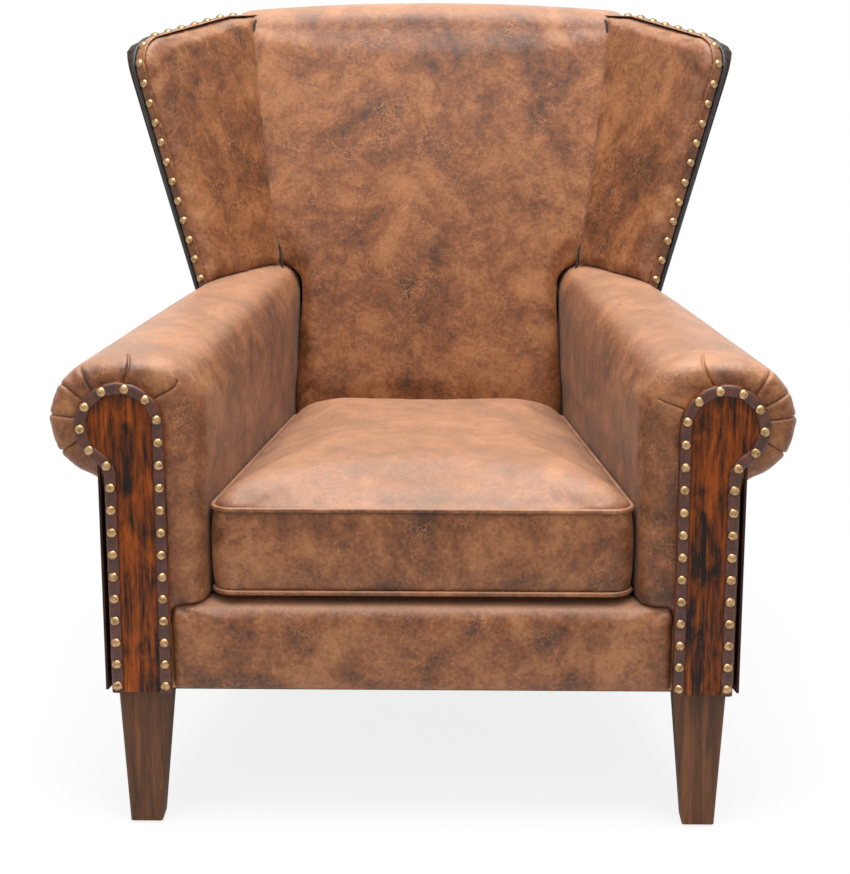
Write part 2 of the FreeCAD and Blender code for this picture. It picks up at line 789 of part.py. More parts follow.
def wing_spot(out, up, inward):
    """A point in the chair from three distances along the wing's own directions."""
    return seam + wing_out * out + wing_up * up + wing_in * inward


def wing_front(up):
    """How far out the front edge of the wing is at one height."""
    rise = size("wing_reach_high") - size("wing_reach_low")
    return size("wing_reach_low") + rise * up / size("wing_height_front")


def wing_path(inset, rear_low, rear_high):
    """Corners of the wing's outline, from the front foot up round the top corner to the rear."""
    edge_lean = math.atan2(size("wing_reach_high") - size("wing_reach_low"),
                           size("wing_height_front"))
    top_fall = math.atan2(size("wing_height_rear") - size("wing_height_front"),
                          size("wing_reach_high"))
    radius = size("wing_corner") - inset
    turn = math.pi / 2 + edge_lean - top_fall
    reach = size("wing_reach_high")
    height = size("wing_height_front")
    edge_in = Vector(-math.cos(edge_lean), math.sin(edge_lean), 0)
    top_in = Vector(-math.sin(top_fall), -math.cos(top_fall), 0)
    along_edge = Vector(math.sin(edge_lean), math.cos(edge_lean), 0)
    along_top = Vector(-math.cos(top_fall), math.sin(top_fall), 0)
    # The arc touches both lines at the same distance from their corner
    back_off = size("wing_corner") * math.tan(turn / 2)
    corner = Vector(reach, height, 0)
    first = corner - along_edge * back_off + edge_in * inset
    last = corner + along_top * back_off + top_in * inset
    centre = first + edge_in * radius
    round_top = round_points((centre.x, centre.y), radius, -edge_lean, math.pi / 2 - top_fall, 5)
    foot_point = first + along_edge * ((wing_below - first.y) / along_edge.y)
    level = size("wing_height_rear") - inset
    kink = last + along_top * ((level - last.y) / along_top.y)
    return ([foot_point] + [Vector(out, up, 0) for out, up in round_top]
            + [kink, Vector(rear_high, level, 0), Vector(rear_low, wing_below, 0)])


def wing_corners(inset, inward, rear_low=wing_behind, rear_high=wing_behind):
    """The outline of the wing in one of the planes parallel to its face."""
    return [wing_spot(spot.x, spot.y, inward) for spot in wing_path(inset, rear_low, rear_high)]


def wing_prism(inset, outer, inner, rear_low=wing_behind, rear_high=wing_behind, nose=0):
    """The wing's outline given thickness, with its inner front edge rounded by the nose."""
    rings = []
    for turn in (90, 45, 0) if nose else (0,):
        angle = math.radians(turn)
        rings.append(wing_corners(inset + nose * (1 - math.cos(angle)),
                                  inner - nose * (1 - math.sin(angle)), rear_low, rear_high))
    rings.append(wing_corners(inset, outer, rear_low, rear_high))
    return flat_sided(rings)


# The wing frame is a board with an upright wedge behind it, glued to the post
wedge_low, wedge_high = seam_z - 14, post_top - 10
arm_all = arm_leather


def wing_at_height(out, inward, z):
    """A point of one wing plane at one height."""
    up = (z - seam.z - wing_in.z * inward) / wing_up.z
    return wing_spot(out, up, inward)


def wedge_corners(z, out):
    """The wedge's cross-section between the wing board and the post at one height."""
    face = leaning(place("post_front"), z)
    return [
        Vector(post_x + size("post_width"), face, z),
        Vector(post_x, face, z),
        wing_at_height(out, -board_out, z),
        wing_at_height(out, -board_in, z),
    ]


wing_board = wing_prism(2 * leather, -board_out, -board_in, 6, -46)
wedge = flat_sided([wedge_corners(wedge_low, 10), wedge_corners(wedge_high, -38)])
wing_frame = largest(wing_board.fuse(wedge).cut(arm_all).cut(post_left).removeSplitter())
wing_frame_left = formed("wing_frame_left", wing_frame)

# Leather goes over the wing's inner face and round its edge, with padding below it
nose = size("wing_nose")
wing_leather = wing_prism(leather, -board_out, 0, nose=nose)
wing_inside = wing_prism(2 * leather, -board_out - 5, -leather, nose=nose - leather)
wing_trim = arm_all.fuse(back_leather)


def cord(spots, gauge, normal, closed=False):
    """A piping cord with six flat sides through points in a plane, mitred at each one."""
    rings = []
    for index, spot in enumerate(spots):
        inner = closed or 0 < index < len(spots) - 1
        before = spots[index - 1] if inner or index else spot - (spots[1] - spot)
        after = spots[(index + 1) % len(spots)] if inner or not index else spot + (spot - before)
        first = (spot - before).normalize()
        last = (after - spot).normalize()
        sideways = (first + last).cross(normal).normalize()
        stretch = 1 / math.sqrt((1 + first.dot(last)) / 2)
        corners = []
        for side in range(6):
            angle = math.pi / 3 * side
            corners.append(spot + sideways * (gauge / 2 * math.cos(angle) * stretch)
                           + normal * (gauge / 2 * math.sin(angle)))
        rings.append(corners)
    return flat_sided(rings, closed)


welt_line = wing_corners(1, -board_out)[:-1]
wing_welt = largest(cord(welt_line, size("welt"), wing_in).cut(wing_trim))
wing_welt_left = formed("wing_welt_left", wing_welt)
wing_cover = largest(wing_leather.cut(wing_inside).cut(wing_trim).cut(wing_welt))
wing_cover_left = formed("wing_cover_left", wing_cover)
wing_pad = wing_inside.cut(wing_prism(-20, -90, -board_in, -300, -300)).cut(wing_trim)
wing_pad = largest(wing_pad.cut(wing_frame).cut(wing_welt))
wing_pad_left = formed("wing_pad_left", wing_pad)
wing_frame_left.Shape = wing_frame.cut(wing_welt)
band_in = board_in - size("wing_band") / 2 + 2
wing_strip = wing_prism(0, -band_in - size("wing_band"), -band_in)
wing_strip = largest(wing_strip.cut(wing_prism(leather, -90, 20)).cut(wing_trim).cut(wing_welt))
wing_band_left = formed("wing_band_left", wing_strip)


def panel_corners(up, skin, spill):
    """The space behind the wing board, out to the outside panel, at one level."""
    front = Vector(wing_front(up), -size("wing_thickness") + skin, 0)
    low = seam_z + up
    rear = Vector(-size("base_width_rear") / 2 + skin, 0, 0)
    for _ in range(20):
        rear.y = leaning(rear_y, low) + spill
        rear.z = low
        low += (up - (rear - seam).dot(wing_up)) / wing_up.z
    rear.z = low
    back = Vector((rear - seam).dot(wing_out), (rear - seam).dot(wing_in), 0)
    line = (front - back).normalize()
    tip = front + line * ((-board_out + spill - front.y) / line.y)
    inner = rear + Vector(1, 0, 0) * ((-board_out + spill - back.y) / wing_in.x)
    inner_spot = Vector((inner - seam).dot(wing_out), -board_out + spill, 0)
    return [wing_spot(spot.x, up, spot.y) for spot in (tip, back, inner_spot)]


def panel_space(skin, spill):
    """The space behind the wing board as one solid."""
    return flat_sided([panel_corners(up, skin, spill) for up in (-90, 430)])


panel_floor = block(-beyond, 0, -beyond, beyond, 0, number(wing_foot))
outside_wing = panel_space(0, 0).common(wing_prism(0, -400, 0))
outside_wing = outside_wing.cut(panel_space(hide, 1).common(wing_prism(hide, -400, 20)))
arm_front_part = arm_solid(0, hide + snug, foot_z, arm_end)
outside_wing = outside_wing.cut(back_leather).cut(panel_floor).cut(arm_front_part)
outside_wing = outside_wing.cut(wing_welt).cut(wing_frame).cut(back_zone)
outside_wing = largest(outside_wing)
outside_wing_left = formed("outside_wing_left", outside_wing)
pieces += [wing_frame_left, wing_welt_left, wing_cover_left, wing_pad_left, wing_band_left,
           outside_wing_left]

# The padded back goes between the arms and behind the wings
trim_back = both_hands(arm_all) + both_hands(wing_frame_left.Shape)
trim_back += both_hands(block(-beyond, -back_half + 2, -beyond, beyond, 0, seam_z - 20))
back_cover = back_leather.cut(back_stuffing).cut(frame_zone)
back_pad = back_stuffing.cut(frame_zone)
for tool in trim_back:
    back_cover = back_cover.cut(tool)
    back_pad = back_pad.cut(tool)
inside_back_cover = formed("inside_back_cover", largest(back_cover))
inside_back_pad = formed("inside_back_pad", back_pad)
pieces += [inside_back_cover, inside_back_pad]


# Webbing straps across the open back frame
def strap(low, high, left, right):
    """One strap of webbing lying on the front of the leaning frame."""
    gap = size("webbing")
    profile = [
        (leaning(web_y + gap / 2, low), low), (leaning(web_y + gap, low), low),
        (leaning(web_y + gap, high), high), (leaning(web_y + gap / 2, high), high),
    ]
    return side_prism(profile, left, right)


web_half = size("webbing_width") / 2
web_span = size("base_width_rear") / 2 - hide - 5
webbing = strap(bend_z + 10, post_top - 5, -web_half, web_half)
for across in (-1, 1):
    middle = across * web_span * 0.48
    webbing = webbing.fuse(strap(bend_z + 10, post_top - 5, middle - web_half, middle + web_half))
lowest = seam_z + size("webbing_rise")
highest = post_top - size("crest_height") - size("webbing_drop")
for step in range(3):
    middle = lowest + (highest - lowest) * step / 2
    webbing = webbing.fuse(strap(middle - web_half, middle + web_half, -web_span, web_span))
for tool in both_hands(wing_frame_left.Shape):
    webbing = webbing.cut(tool)
back_webbing = formed("back_webbing", webbing.removeSplitter())
pieces.append(back_webbing)


# The seat front: leather rolled over a thin pad on the front rail
face_y = wall
border_back = face_y + size("border_depth")
border_half = place("facing_right")
deck_top = deck_z


def border_prism(inset, low, half):
    """The rolled seat front as a prism, drawn in from its leather surface."""
    radius = size("border_radius") - inset
    front = face_y + inset
    top = deck_top - inset
    bend = radius * (1 - math.cos(math.pi / 4))
    spots = [Vector(half, front, low), Vector(half, front, top - radius),
             Vector(half, front + bend, top - bend), Vector(half, front + radius, top),
             Vector(half, border_back, top), Vector(half, border_back, low)]
    wire = Part.Wire([
        Part.makeLine(spots[0], spots[1]),
        arc_through(spots[1], spots[2], spots[3]),
        Part.makeLine(spots[3], spots[4]),
        Part.makeLine(spots[4], spots[5]),
        Part.makeLine(spots[5], spots[0]),
    ])
    return Part.Face(wire).extrude(Vector(-2 * half, 0, 0))


spring_z = place("rail_top") + size("clip_plate")
pad_low = deck_top - leather - size("deck_pad") + 2
stump_front = place("frame_front") + size("front_pad")
border_leather = border_prism(0, foot_z, border_half)
border_inside = border_prism(leather, foot_z, border_half)
border_hollow = block(-beyond, beyond, stump_front, beyond, 0, pad_low)
arms_both = both_hands(arm_leather.cut(below_seat))
border_cover = border_leather.cut(border_inside)
border_pad = border_inside.cut(border_hollow)
for tool in arms_both:
    border_cover = border_cover.cut(tool)
    border_pad = border_pad.cut(tool)
front_border_cover = formed("front_border_cover", border_cover)
front_border_pad = formed("front_border_pad", border_pad)

inner_line = "-(sizes.cushion_front / 2 + sizes.cushion_gap)"
inner_line += " + places.seat_slope * ({} - places.cushion_front_y)"
border_end = f"({wall_front} + sizes.border_depth)"
seat_back = "(places.post_front - sizes.webbing)"
deck_left = [(inner_line.format(border_end), border_end),
             (inner_line.format(seat_back), seat_back)]
deck_right = [(f"-({across})", along) for across, along in reversed(deck_left)]
deck_cloth = prism("deck_cover", "XY_Plane", "places.border_top", "sizes.leather",
                   deck_left + deck_right)
pad_left = [("places.facing_right", border_end),
            (f"{inner_line.format(seat_back)} - 30", seat_back)]
pad_right = [(f"-({across})", along) for across, along in reversed(pad_left)]
deck_pad = prism("deck_pad", "XY_Plane", "places.border_top - sizes.deck_pad + 2",
                 "sizes.deck_pad - 2", pad_left + pad_right)
pieces += [front_border_cover, front_border_pad, deck_cloth, deck_pad]

# Sinuous seat springs, each a flat zigzag of wire held by a clip at either end
gauge = size("spring_wire")
loop = size("spring_loop")
spring_front = (stump_front + stump_back) / 2
spring_back = place("post_front") + size("rail_thickness") / 2


def spring_at(middle):
    """One zigzag spring running front to back about a line across the seat."""
    turns = 2 * round((spring_back - spring_front) / size("spring_spread")) + 1
    step = (spring_back - spring_front) / turns
    path = [Vector(middle - loop / 2, spring_front, spring_z)]
    side = 1
    for turn in range(turns):
        y = spring_front + turn * step
        path.append(Vector(middle + side * loop / 2, y, spring_z))
        path.append(Vector(middle + side * loop / 2, y + step, spring_z))
        side = -side
    path.append(Vector(middle + side * loop / 2, spring_back, spring_z))
    bars = []
    for first, last in zip(path, path[1:]):
        low_x, high_x = sorted((first.x, last.x))
        low_y, high_y = sorted((first.y, last.y))
        if high_x - low_x + high_y - low_y < 0.001:
            continue
        bars.append(block(low_x - gauge / 2, high_x + gauge / 2, low_y - gauge / 2,
                          high_y + gauge / 2, spring_z, spring_z + gauge))
    return bars[0].multiFuse(bars[1:]).removeSplitter()


count = round(size("spring_count"))
spring_gap = 2 * (abs(place("facing_right")) - size("spring_margin")) / count
middles = [(index - (count - 1) / 2) * spring_gap for index in range(count)]
springs = [spring_at(middle) for middle in middles]
seat_springs = formed("seat_springs", Part.makeCompound(springs))
clips = []
clip_half = size("clip_width") / 2
clip_deep = size("clip_depth") / 2
grip = gauge / 2 + size("clip_wall")
for middle in middles:
    for y in (spring_front, spring_back):
        base = block(middle - clip_half, middle + clip_half, y - clip_deep, y + clip_deep,
                     place("rail_top"), spring_z)
        top = block(middle - clip_half, middle + clip_half, y - grip, y + grip,
                    place("rail_top"), spring_z + gauge + size("clip_lid"))
        channel = block(middle - clip_half - 1, middle + clip_half + 1, y - gauge / 2,
                        y + gauge / 2, spring_z, spring_z + gauge)
        clips.append(base.fuse(top).cut(channel).removeSplitter())
spring_clips = formed("spring_clips", Part.makeCompound(clips))
pieces += [seat_springs, spring_clips]

# Hide-covered facings on the arm fronts, each with a leather strip and nails round its edge
facing = facing_shape("arm_facing_left", "0 * sizes.hide", wall_front, "sizes.facing_thickness")
strip_shape = facing_shape("facing_border_left", "0 * sizes.hide", "places.facing_front",
                           "sizes.strip_thickness")
strip_hole = facing_shape("facing_border_hole", "sizes.strip_width",
                          "(places.facing_front + 1)", "(sizes.strip_thickness + 2)")
strip_cut = shape_of(strip_shape).cut(shape_of(strip_hole)).cut(
    block(-beyond, 0, -beyond, 0, 0, foot_z))
facing_border = formed("facing_border_left", strip_cut)
strip_shape.Label = "facing_border_blank"
facing_border.Label = "facing_border_left"
pieces += [facing, facing_border]


NAIL_SIDES = 6
DOME_TOP = 0.3125


def nail(spot, outward):
    """One upholstery nail: a low domed head of flat facets on a three-sided shank."""
    turn = Rotation(Vector(0, 0, 1), outward)
    across = turn.multVec(Vector(1, 0, 0))
    up = turn.multVec(Vector(0, 1, 0))
    rings = []
    for radius, rise in ((size("nail_width") / 2, 0), (size("nail_width") * DOME_TOP, size("nail_height"))):
        corners = []
        for index in range(NAIL_SIDES):
            angle = 2 * math.pi * index / NAIL_SIDES
            corners.append(spot + outward * rise + across * (radius * math.cos(angle))
                           + up * (radius * math.sin(angle)))
        rings.append(corners)
    head = flat_sided(rings)
    half = size("nail_shank") / 2
    shank = [[spot + across * a + up * b + outward * reach
              for a, b in ((-half, -half), (half, -half), (0, half))]
             for reach in (0.5, 0.5 - size("nail_length"))]
    return head.fuse(flat_sided(shank))


def along_wire(wire, first_gap, last_gap):
    """Evenly pitched points along a wire, between a gap at either end, with its directions."""
    length = wire.Length - first_gap - last_gap
    count = round(length / size("nail_pitch"))
    spots = []
    for index in range(count + 1):
        distance = first_gap + length * index / count
        for edge in wire.OrderedEdges:
            if distance <= edge.Length + 0.001:
                break
            distance -= edge.Length
        spots.append((edge, edge.getParameterByLength(min(distance, edge.Length))))
    return [(edge.valueAt(at), edge.tangentAt(at)) for edge, at in spots]


inset = size("strip_width") / 2
head_x = place("facing_right") - size("facing_head")
head_z = size("facing_head_height")
head_r = size("facing_head") - inset
edge_right = place("facing_right") - inset
edge_left = place("facing_right") - size("facing_width") + inset
neck_r = size("facing_neck") + inset
neck_x = edge_left - neck_r
neck_z = head_z - math.sqrt((head_r + neck_r) ** 2 - (head_x - neck_x) ** 2)
nail_y = place("facing_front") - size("strip_thickness")
meet = Vector(neck_x, nail_y, neck_z)
meet += (Vector(head_x, nail_y, head_z) - meet) * (neck_r / (head_r + neck_r))
swing = math.atan2(meet.z - head_z, meet.x - head_x) % (2 * math.pi)
middle = Vector(head_x + head_r * math.cos(swing / 2), nail_y,
                head_z + head_r * math.sin(swing / 2))
neck_swing = math.atan2(meet.z - neck_z, meet.x - neck_x) / 2
neck_middle = Vector(neck_x + neck_r * math.cos(neck_swing), nail_y,
                     neck_z + neck_r * math.sin(neck_swing))
nail_line = Part.Wire([
    Part.makeLine(Vector(edge_right, nail_y, foot_z), Vector(edge_right, nail_y, head_z)),
    arc_through(Vector(edge_right, nail_y, head_z), middle, meet),
    arc_through(meet, neck_middle, Vector(edge_left, nail_y, neck_z)),
    Part.makeLine(Vector(edge_left, nail_y, neck_z), Vector(edge_left, nail_y, foot_z)),
])
forward = Vector(0, -1, 0)
heads = [nail(spot, forward) for spot, _ in along_wire(nail_line, size("nail_margin"), size("nail_margin"))]
arm_nails_left = formed("arm_nails_left", Part.makeCompound(heads))

wing_line = Part.makePolygon(wing_corners(0, -board_in - 2)[:-1])
wing_heads = []
for spot, direction in along_wire(wing_line, size("wing_nail_start"), 0):
    outward = direction.cross(wing_in).normalize()
    if outward.dot(spot - wing_spot(0, 0, 0)) < 0:
        outward = -outward
    along = direction.normalize() * size("nail_width") * 0.7
    touched = [spot + along * side - outward * depth
               for side in (-1, 0, 1) for depth in (0, 2, 12, size("nail_length"))]
    if any(solid.isInside(point, 0.1, True) for solid in (back_leather, arm_all)
           for point in touched):
        continue
    if not wing_strip.isInside(spot - outward * leather / 2, 0.1, True):
        continue
    wing_heads.append(nail(spot, outward))
wing_nails_left = formed("wing_nails_left", Part.makeCompound(wing_heads))
pieces += [arm_nails_left, wing_nails_left]


# The loose seat cushion: foam in a leather case with a welt round the top and the bottom
case_low = deck_z + size("cushion_rest")
seam_low = case_low + size("cushion_belly")
seam_high = seam_low + size("cushion_boxing")
crown_top = seam_high + size("cushion_crown")
case_front = place("cushion_front_y")
case_back = case_front + size("cushion_depth")


def cushion_ring(inset, z):
    """Points round the cushion's plan with rounded corners, drawn in, at one height."""
    slant = (size("cushion_front") - size("cushion_rear")) / 2 / size("cushion_depth")
    front_y = case_front + inset
    back_y = case_back - inset
    edge = inset * math.sqrt(1 + slant ** 2)
    front_x = size("cushion_front") / 2 - slant * inset - edge
    back_x = size("cushion_rear") / 2 + slant * inset - edge
    radius = max(size("cushion_corner") - inset, 6) + 0.35 * inset
    corners = [Vector(front_x, front_y, z), Vector(back_x, back_y, z),
               Vector(-back_x, back_y, z), Vector(-front_x, front_y, z)]
    points = []
    for index, corner in enumerate(corners):
        before = (corners[index - 1] - corner).normalize()
        after = (corners[(index + 1) % 4] - corner).normalize()
        half_angle = before.getAngle(after) / 2
        centre = corner + (before + after).normalize() * (radius / math.sin(half_angle))
        first = corner + before * (radius / math.tan(half_angle)) - centre
        start = math.atan2(first.y, first.x)
        points += round_points((centre.x, centre.y), radius, start,
                               start + math.pi - 2 * half_angle, 5)
    return [Vector(x, y, z) for x, y in points]


def cushion_solid(skin):
    """The cushion as one solid: belly, drawn-in sides and crown, drawn in by the skin."""
    draw = size("cushion_draw")
    middle = (seam_low + seam_high) / 2
    crown = size("cushion_crown")
    tuck = skin + size("welt") / 2 + 1.4
    levels = [
        (90, case_low + skin), (34, case_low + skin + 2), (tuck, seam_low),
        (tuck + draw, middle - 25), (tuck + draw, middle + 25), (tuck, seam_high),
        (14, seam_high + 0.4 * crown - skin), (42, seam_high + 0.72 * crown - skin),
        (90, seam_high + 0.93 * crown - skin), (150, crown_top - skin),
    ]
    return flat_sided([cushion_ring(inset, z) for inset, z in levels])


case = cushion_solid(0)
filling = cushion_solid(leather)
upward = Vector(0, 0, 1)
welts = [cord(cushion_ring(0.9, z), size("welt"), upward, True) for z in (seam_low, seam_high)]
cushion_welts = formed("cushion_welts", Part.makeCompound(welts))
cushion_cover = formed("cushion_cover", case.cut(filling))
cushion_core = formed("cushion_core", filling)
seat_pieces = [cushion_core, cushion_cover, cushion_welts]

# Every left-hand piece has a right-hand twin, and small alike pieces are kept as one set
SETS = {"corner_block": "corner_blocks", "leg_plate": "leg_plates", "leg_bolt": "leg_bolts",
        "glide": "glides"}
gathered = {name: [] for name in SETS.values()}
for piece in list(pieces):
    if not piece.Label.endswith("_left"):
        continue
    twin = mirrored(piece.Label.replace("_left", "_right"), piece)
    kinds = [SETS[start] for start in SETS if piece.Label.startswith(start)]
    if kinds:
        pieces.remove(piece)
        gathered[kinds[0]] += [piece, twin]
    else:
        pieces.append(twin)
for name, members in gathered.items():
    group = doc.addObject("Part::Compound", name)
    group.Label = name
    group.Links = members
    pieces.append(group)
pieces += seat_pieces
doc.recompute()

faults = [f"{item.Name}: {item.State}" for item in doc.Objects
          if "Invalid" in item.State or "Error" in item.State]
faults += [f"{piece.Label} is not a valid solid" for piece in pieces
           if not piece.Shape.isValid() or not piece.Shape.Solids]
if faults:
    raise RuntimeError("; ".join(faults))

os.makedirs("parts", exist_ok=True)
for piece in pieces:
    piece.Shape.exportStep(f"parts/{piece.Label}.step")
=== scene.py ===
"""Looks of the wing armchair: leather, hide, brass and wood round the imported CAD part."""

import math
from functools import partial

import bmesh
import bpy
import numpy as np
from bpy.props import FloatProperty, FloatVectorProperty, PointerProperty
from mathutils import Matrix, Vector


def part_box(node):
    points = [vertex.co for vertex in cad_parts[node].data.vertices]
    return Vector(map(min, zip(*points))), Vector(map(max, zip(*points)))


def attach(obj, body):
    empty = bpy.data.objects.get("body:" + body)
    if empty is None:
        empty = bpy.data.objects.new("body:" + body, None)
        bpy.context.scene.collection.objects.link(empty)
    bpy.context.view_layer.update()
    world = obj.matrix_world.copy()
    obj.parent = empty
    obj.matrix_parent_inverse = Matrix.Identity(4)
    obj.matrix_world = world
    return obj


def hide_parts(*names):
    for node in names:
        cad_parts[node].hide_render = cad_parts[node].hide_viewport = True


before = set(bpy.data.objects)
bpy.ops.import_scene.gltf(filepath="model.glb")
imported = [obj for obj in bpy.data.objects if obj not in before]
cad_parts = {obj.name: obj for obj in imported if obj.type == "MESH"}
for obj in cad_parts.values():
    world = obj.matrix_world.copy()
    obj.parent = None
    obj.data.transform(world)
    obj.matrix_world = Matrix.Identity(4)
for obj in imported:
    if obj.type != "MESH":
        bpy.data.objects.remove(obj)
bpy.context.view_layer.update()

bl_info = {
    "name": "Wing armchair looks",
    "version": (1, 0, 0),
    "blender": (4, 5, 0),
    "location": "3D View > Sidebar > Armchair",
    "description": "Upholstery, trim and finishes of a wing armchair round its CAD frame",
    "category": "Object",
}

MM = 0.001

# The CAD part's own sizes in millimetres, which the soft forms follow
WALL = -401.5
ARM_NOSE = 26
WIDEST = WALL + ARM_NOSE
ARM_END = 211.5
FOOT = 178
SEAT_TOP = 287
DECK_TOP = 289
SIDE_SLOPE = 0.150665
SEAT_SLOPE = 0.129524
BACK_SLOPE = 0.263462
BACK_BEND = 435
BACK_FACE = 139.5
BACK_HALF = 287
POST_TOP = 955
WEB_FACE = 211.5
HALF_DEPTH = 414.5
FACING_RIGHT = -309
FACING_LEFT = -383
HEAD_X = -363
HEAD_Z = 516
HEAD_RADIUS = 54
NECK_RADIUS = 20
FACING_FRONT = -409.5
STRIP_HALF = 7.5
WING_SEAM = Vector((-209.5, 186.13, 612))
WELT_IN = -25
BAND_MIDDLE = -12
CASE_FRONT = -389.5
CASE_DEPTH = 525
CASE_FRONT_WIDTH = 526
CASE_BACK_WIDTH = 390
CASE_ROUND = 26
SEAT_HALF = 267
SIDE_HALF = 392
SIDE_FRONT = -399.5
PANEL = 3.2
RAIL_ROLL = 20
RAIL_DEPTH = 58
ARM_FAR = 330
BACK_REAR = 277.5
BACK_TOP = 993
TOP_DROP = 12
CROWN = 14
FRONT_ROLL = 42
REAR_ROLL = 26
WING_WIDTH = 197
WING_CORNER = 350
WING_TOP = 381
WING_LEAN = 32
WING_ROUND = 48
WING_FOOT = -60
WING_REAR = -130

# The same for what changes along the arm, at its front and at its back
ROLL_RADIUS = (75, 50)
ROLL_OVER = (61.6, 14)
ARM_TOP = (595, 622)
ARM_CORNER = (60, 35)

# How far apart corners may be and still be one, in metres
DOUBLED = 0.00002


def linear(code):
    """A hex sRGB colour as linear values, as Blender's sockets want it."""
    channels = [int(code[place:place + 2], 16) / 255 for place in (1, 3, 5)]
    return [value / 12.92 if value <= 0.04045 else ((value + 0.055) / 1.055) ** 2.4
            for value in channels]


# Sizes and colours that a user would change


def tone(name, code, description):
    """A colour setting with its default written as a hex value."""
    return FloatVectorProperty(name=name, description=description, subtype="COLOR", size=3,
                               min=0, max=1, default=linear(code))


def length(name, value, description):
    """A size setting in metres."""
    return FloatProperty(name=name, description=description, default=value, min=0,
                         unit="LENGTH", precision=4)


class ChairSizes(bpy.types.PropertyGroup):
    """Sizes of what the upholsterer adds to the frame"""

    voxel: length("Skin mesh", 0.006, "Spacing of the mesh that a padded form starts from")
    swell: length("Swell", 0.004, "How far stuffing may push the leather out")
    pleat_depth: length("Pleat depth", 0.0032, "Depth of the folds round the arm fronts")
    pleat_width: length("Pleat width", 0.0013, "Half width of those folds")
    nail_width: length("Nail width", 0.0130, "Width of a nail's domed head")
    nail_rise: length("Nail rise", 0.0048, "Height of a nail's domed head")
    nail_pitch: length("Nail pitch", 0.028, "Distance between nails")
    strip_rise: length("Strip rise", 0.0042, "How far the leather strip puffs up between nails")
    piping: length("Piping", 0.0062, "Width of the cushion's piping")
    stitch: length("Stitch", 0.0042, "Length of a stitch")


class ChairColours(bpy.types.PropertyGroup):
    """Colours of the leathers, hide, brass and wood"""

    tan_dark: tone("Tan leather, dark", "#4a2b17", "Worked-in patches of the leather")
    tan_middle: tone("Tan leather, middle", "#7a4828", "Most of the leather")
    tan_light: tone("Tan leather, light", "#ae774b", "Rubbed patches of the leather")
    hide_red: tone("Hide, red", "#7c3a0d", "The hide's red-brown hair")
    hide_black: tone("Hide, black", "#130904", "The hide's black hair")
    strip: tone("Strip leather", "#4a2010", "Leather strip under the arm nails")
    welt: tone("Welt leather", "#15110f", "Piping round the wings")
    brass: tone("Brass", "#b39068", "Nail heads")
    wood: tone("Leg stain", "#56331a", "Stained legs")


def sizes():
    """The size settings of this scene."""
    return bpy.context.scene.chair_sizes


def colours():
    """The colour settings of this scene."""
    return bpy.context.scene.chair_colours


# Small helpers for meshes


def pick(piece):
    """Select one piece alone and make it active."""
    bpy.ops.object.select_all(action="DESELECT")
    piece.select_set(True)
    bpy.context.view_layer.objects.active = piece


def edit(piece):
    """Open one piece in edit mode with all of it selected."""
    pick(piece)
    bpy.ops.object.mode_set(mode="EDIT")
    bpy.ops.mesh.select_all(action="SELECT")


def done():
    """Leave edit mode."""
    bpy.ops.object.mode_set(mode="OBJECT")


def apply_all(piece):
    """Apply a piece's modifiers in order."""
    pick(piece)
    for modifier in list(piece.modifiers):
        bpy.ops.object.modifier_apply(modifier=modifier.name)


def corners_of(piece):
    """A piece's corners as an array, in metres."""
    spots = np.zeros(len(piece.data.vertices) * 3)
    piece.data.vertices.foreach_get("co", spots)
    return spots.reshape(-1, 3)


def place_corners(piece, spots):
    """Put a piece's corners at these places."""
    piece.data.vertices.foreach_set("co", np.asarray(spots, float).ravel())
    piece.data.update()


def normals_of(piece):
    """The direction that each corner of a piece faces."""
    facing = np.zeros(len(piece.data.vertices) * 3)
    piece.data.vertex_normals.foreach_get("vector", facing)
    return facing.reshape(-1, 3)


def added(name):
    """The object that an operator has just added, with its name."""
    piece = bpy.context.active_object
    piece.name = name
    piece.data.name = name
    return piece


def grid_through(name, rows, round_rows=False):
    """A grid laid through rows of points in millimetres, joined up where the rows go round."""
    if round_rows:
        rows = [list(row) + [row[0]] for row in rows]
    bpy.ops.object.select_all(action="DESELECT")
    bpy.ops.mesh.primitive_grid_add(x_subdivisions=len(rows[0]) - 1,
                                    y_subdivisions=len(rows) - 1, size=1)
    piece = added(name)
    spots = [Vector(spot) * MM for row in rows for spot in row]
    if len(spots) != len(piece.data.vertices):
        raise RuntimeError(f"{name}: {len(piece.data.vertices)} corners for {len(spots)} points")
    place_corners(piece, spots)
    return piece


def face_outwards():
    """Point all faces of the piece in edit mode outwards."""
    bpy.ops.mesh.select_all(action="SELECT")
    bpy.ops.mesh.normals_make_consistent(inside=False)


def close_up(piece, open_ends=True):
    """Join a skin's doubled corners, fill its open ends and point its faces outwards."""
    edit(piece)
    bpy.ops.mesh.remove_doubles(threshold=DOUBLED)
    if open_ends:
        bpy.ops.mesh.select_all(action="SELECT")
        bpy.ops.mesh.fill_holes(sides=0)
    face_outwards()
    done()


def solid_through(name, sections):
    """A closed skin through sections of as many corners each."""
    piece = grid_through(name, sections, True)
    close_up(piece)
    return piece


def thicken(piece, thickness):
    """Give a sheet its thickness on its inner side."""
    modifier = piece.modifiers.new("Thickness", "SOLIDIFY")
    modifier.thickness = thickness
    modifier.offset = -1
    apply_all(piece)
    edit(piece)
    face_outwards()
    done()


def slab(name, low, high):
    """A block between two corners in millimetres, used only to cut with."""
    middle = (Vector(low) + Vector(high)) / 2 * MM
    bpy.ops.object.select_all(action="DESELECT")
    bpy.ops.mesh.primitive_cube_add(size=1, location=middle)
    piece = added(name)
    piece.dimensions = (Vector(high) - Vector(low)) * MM
    bpy.ops.object.transform_apply(location=True, rotation=True, scale=True)
    return piece


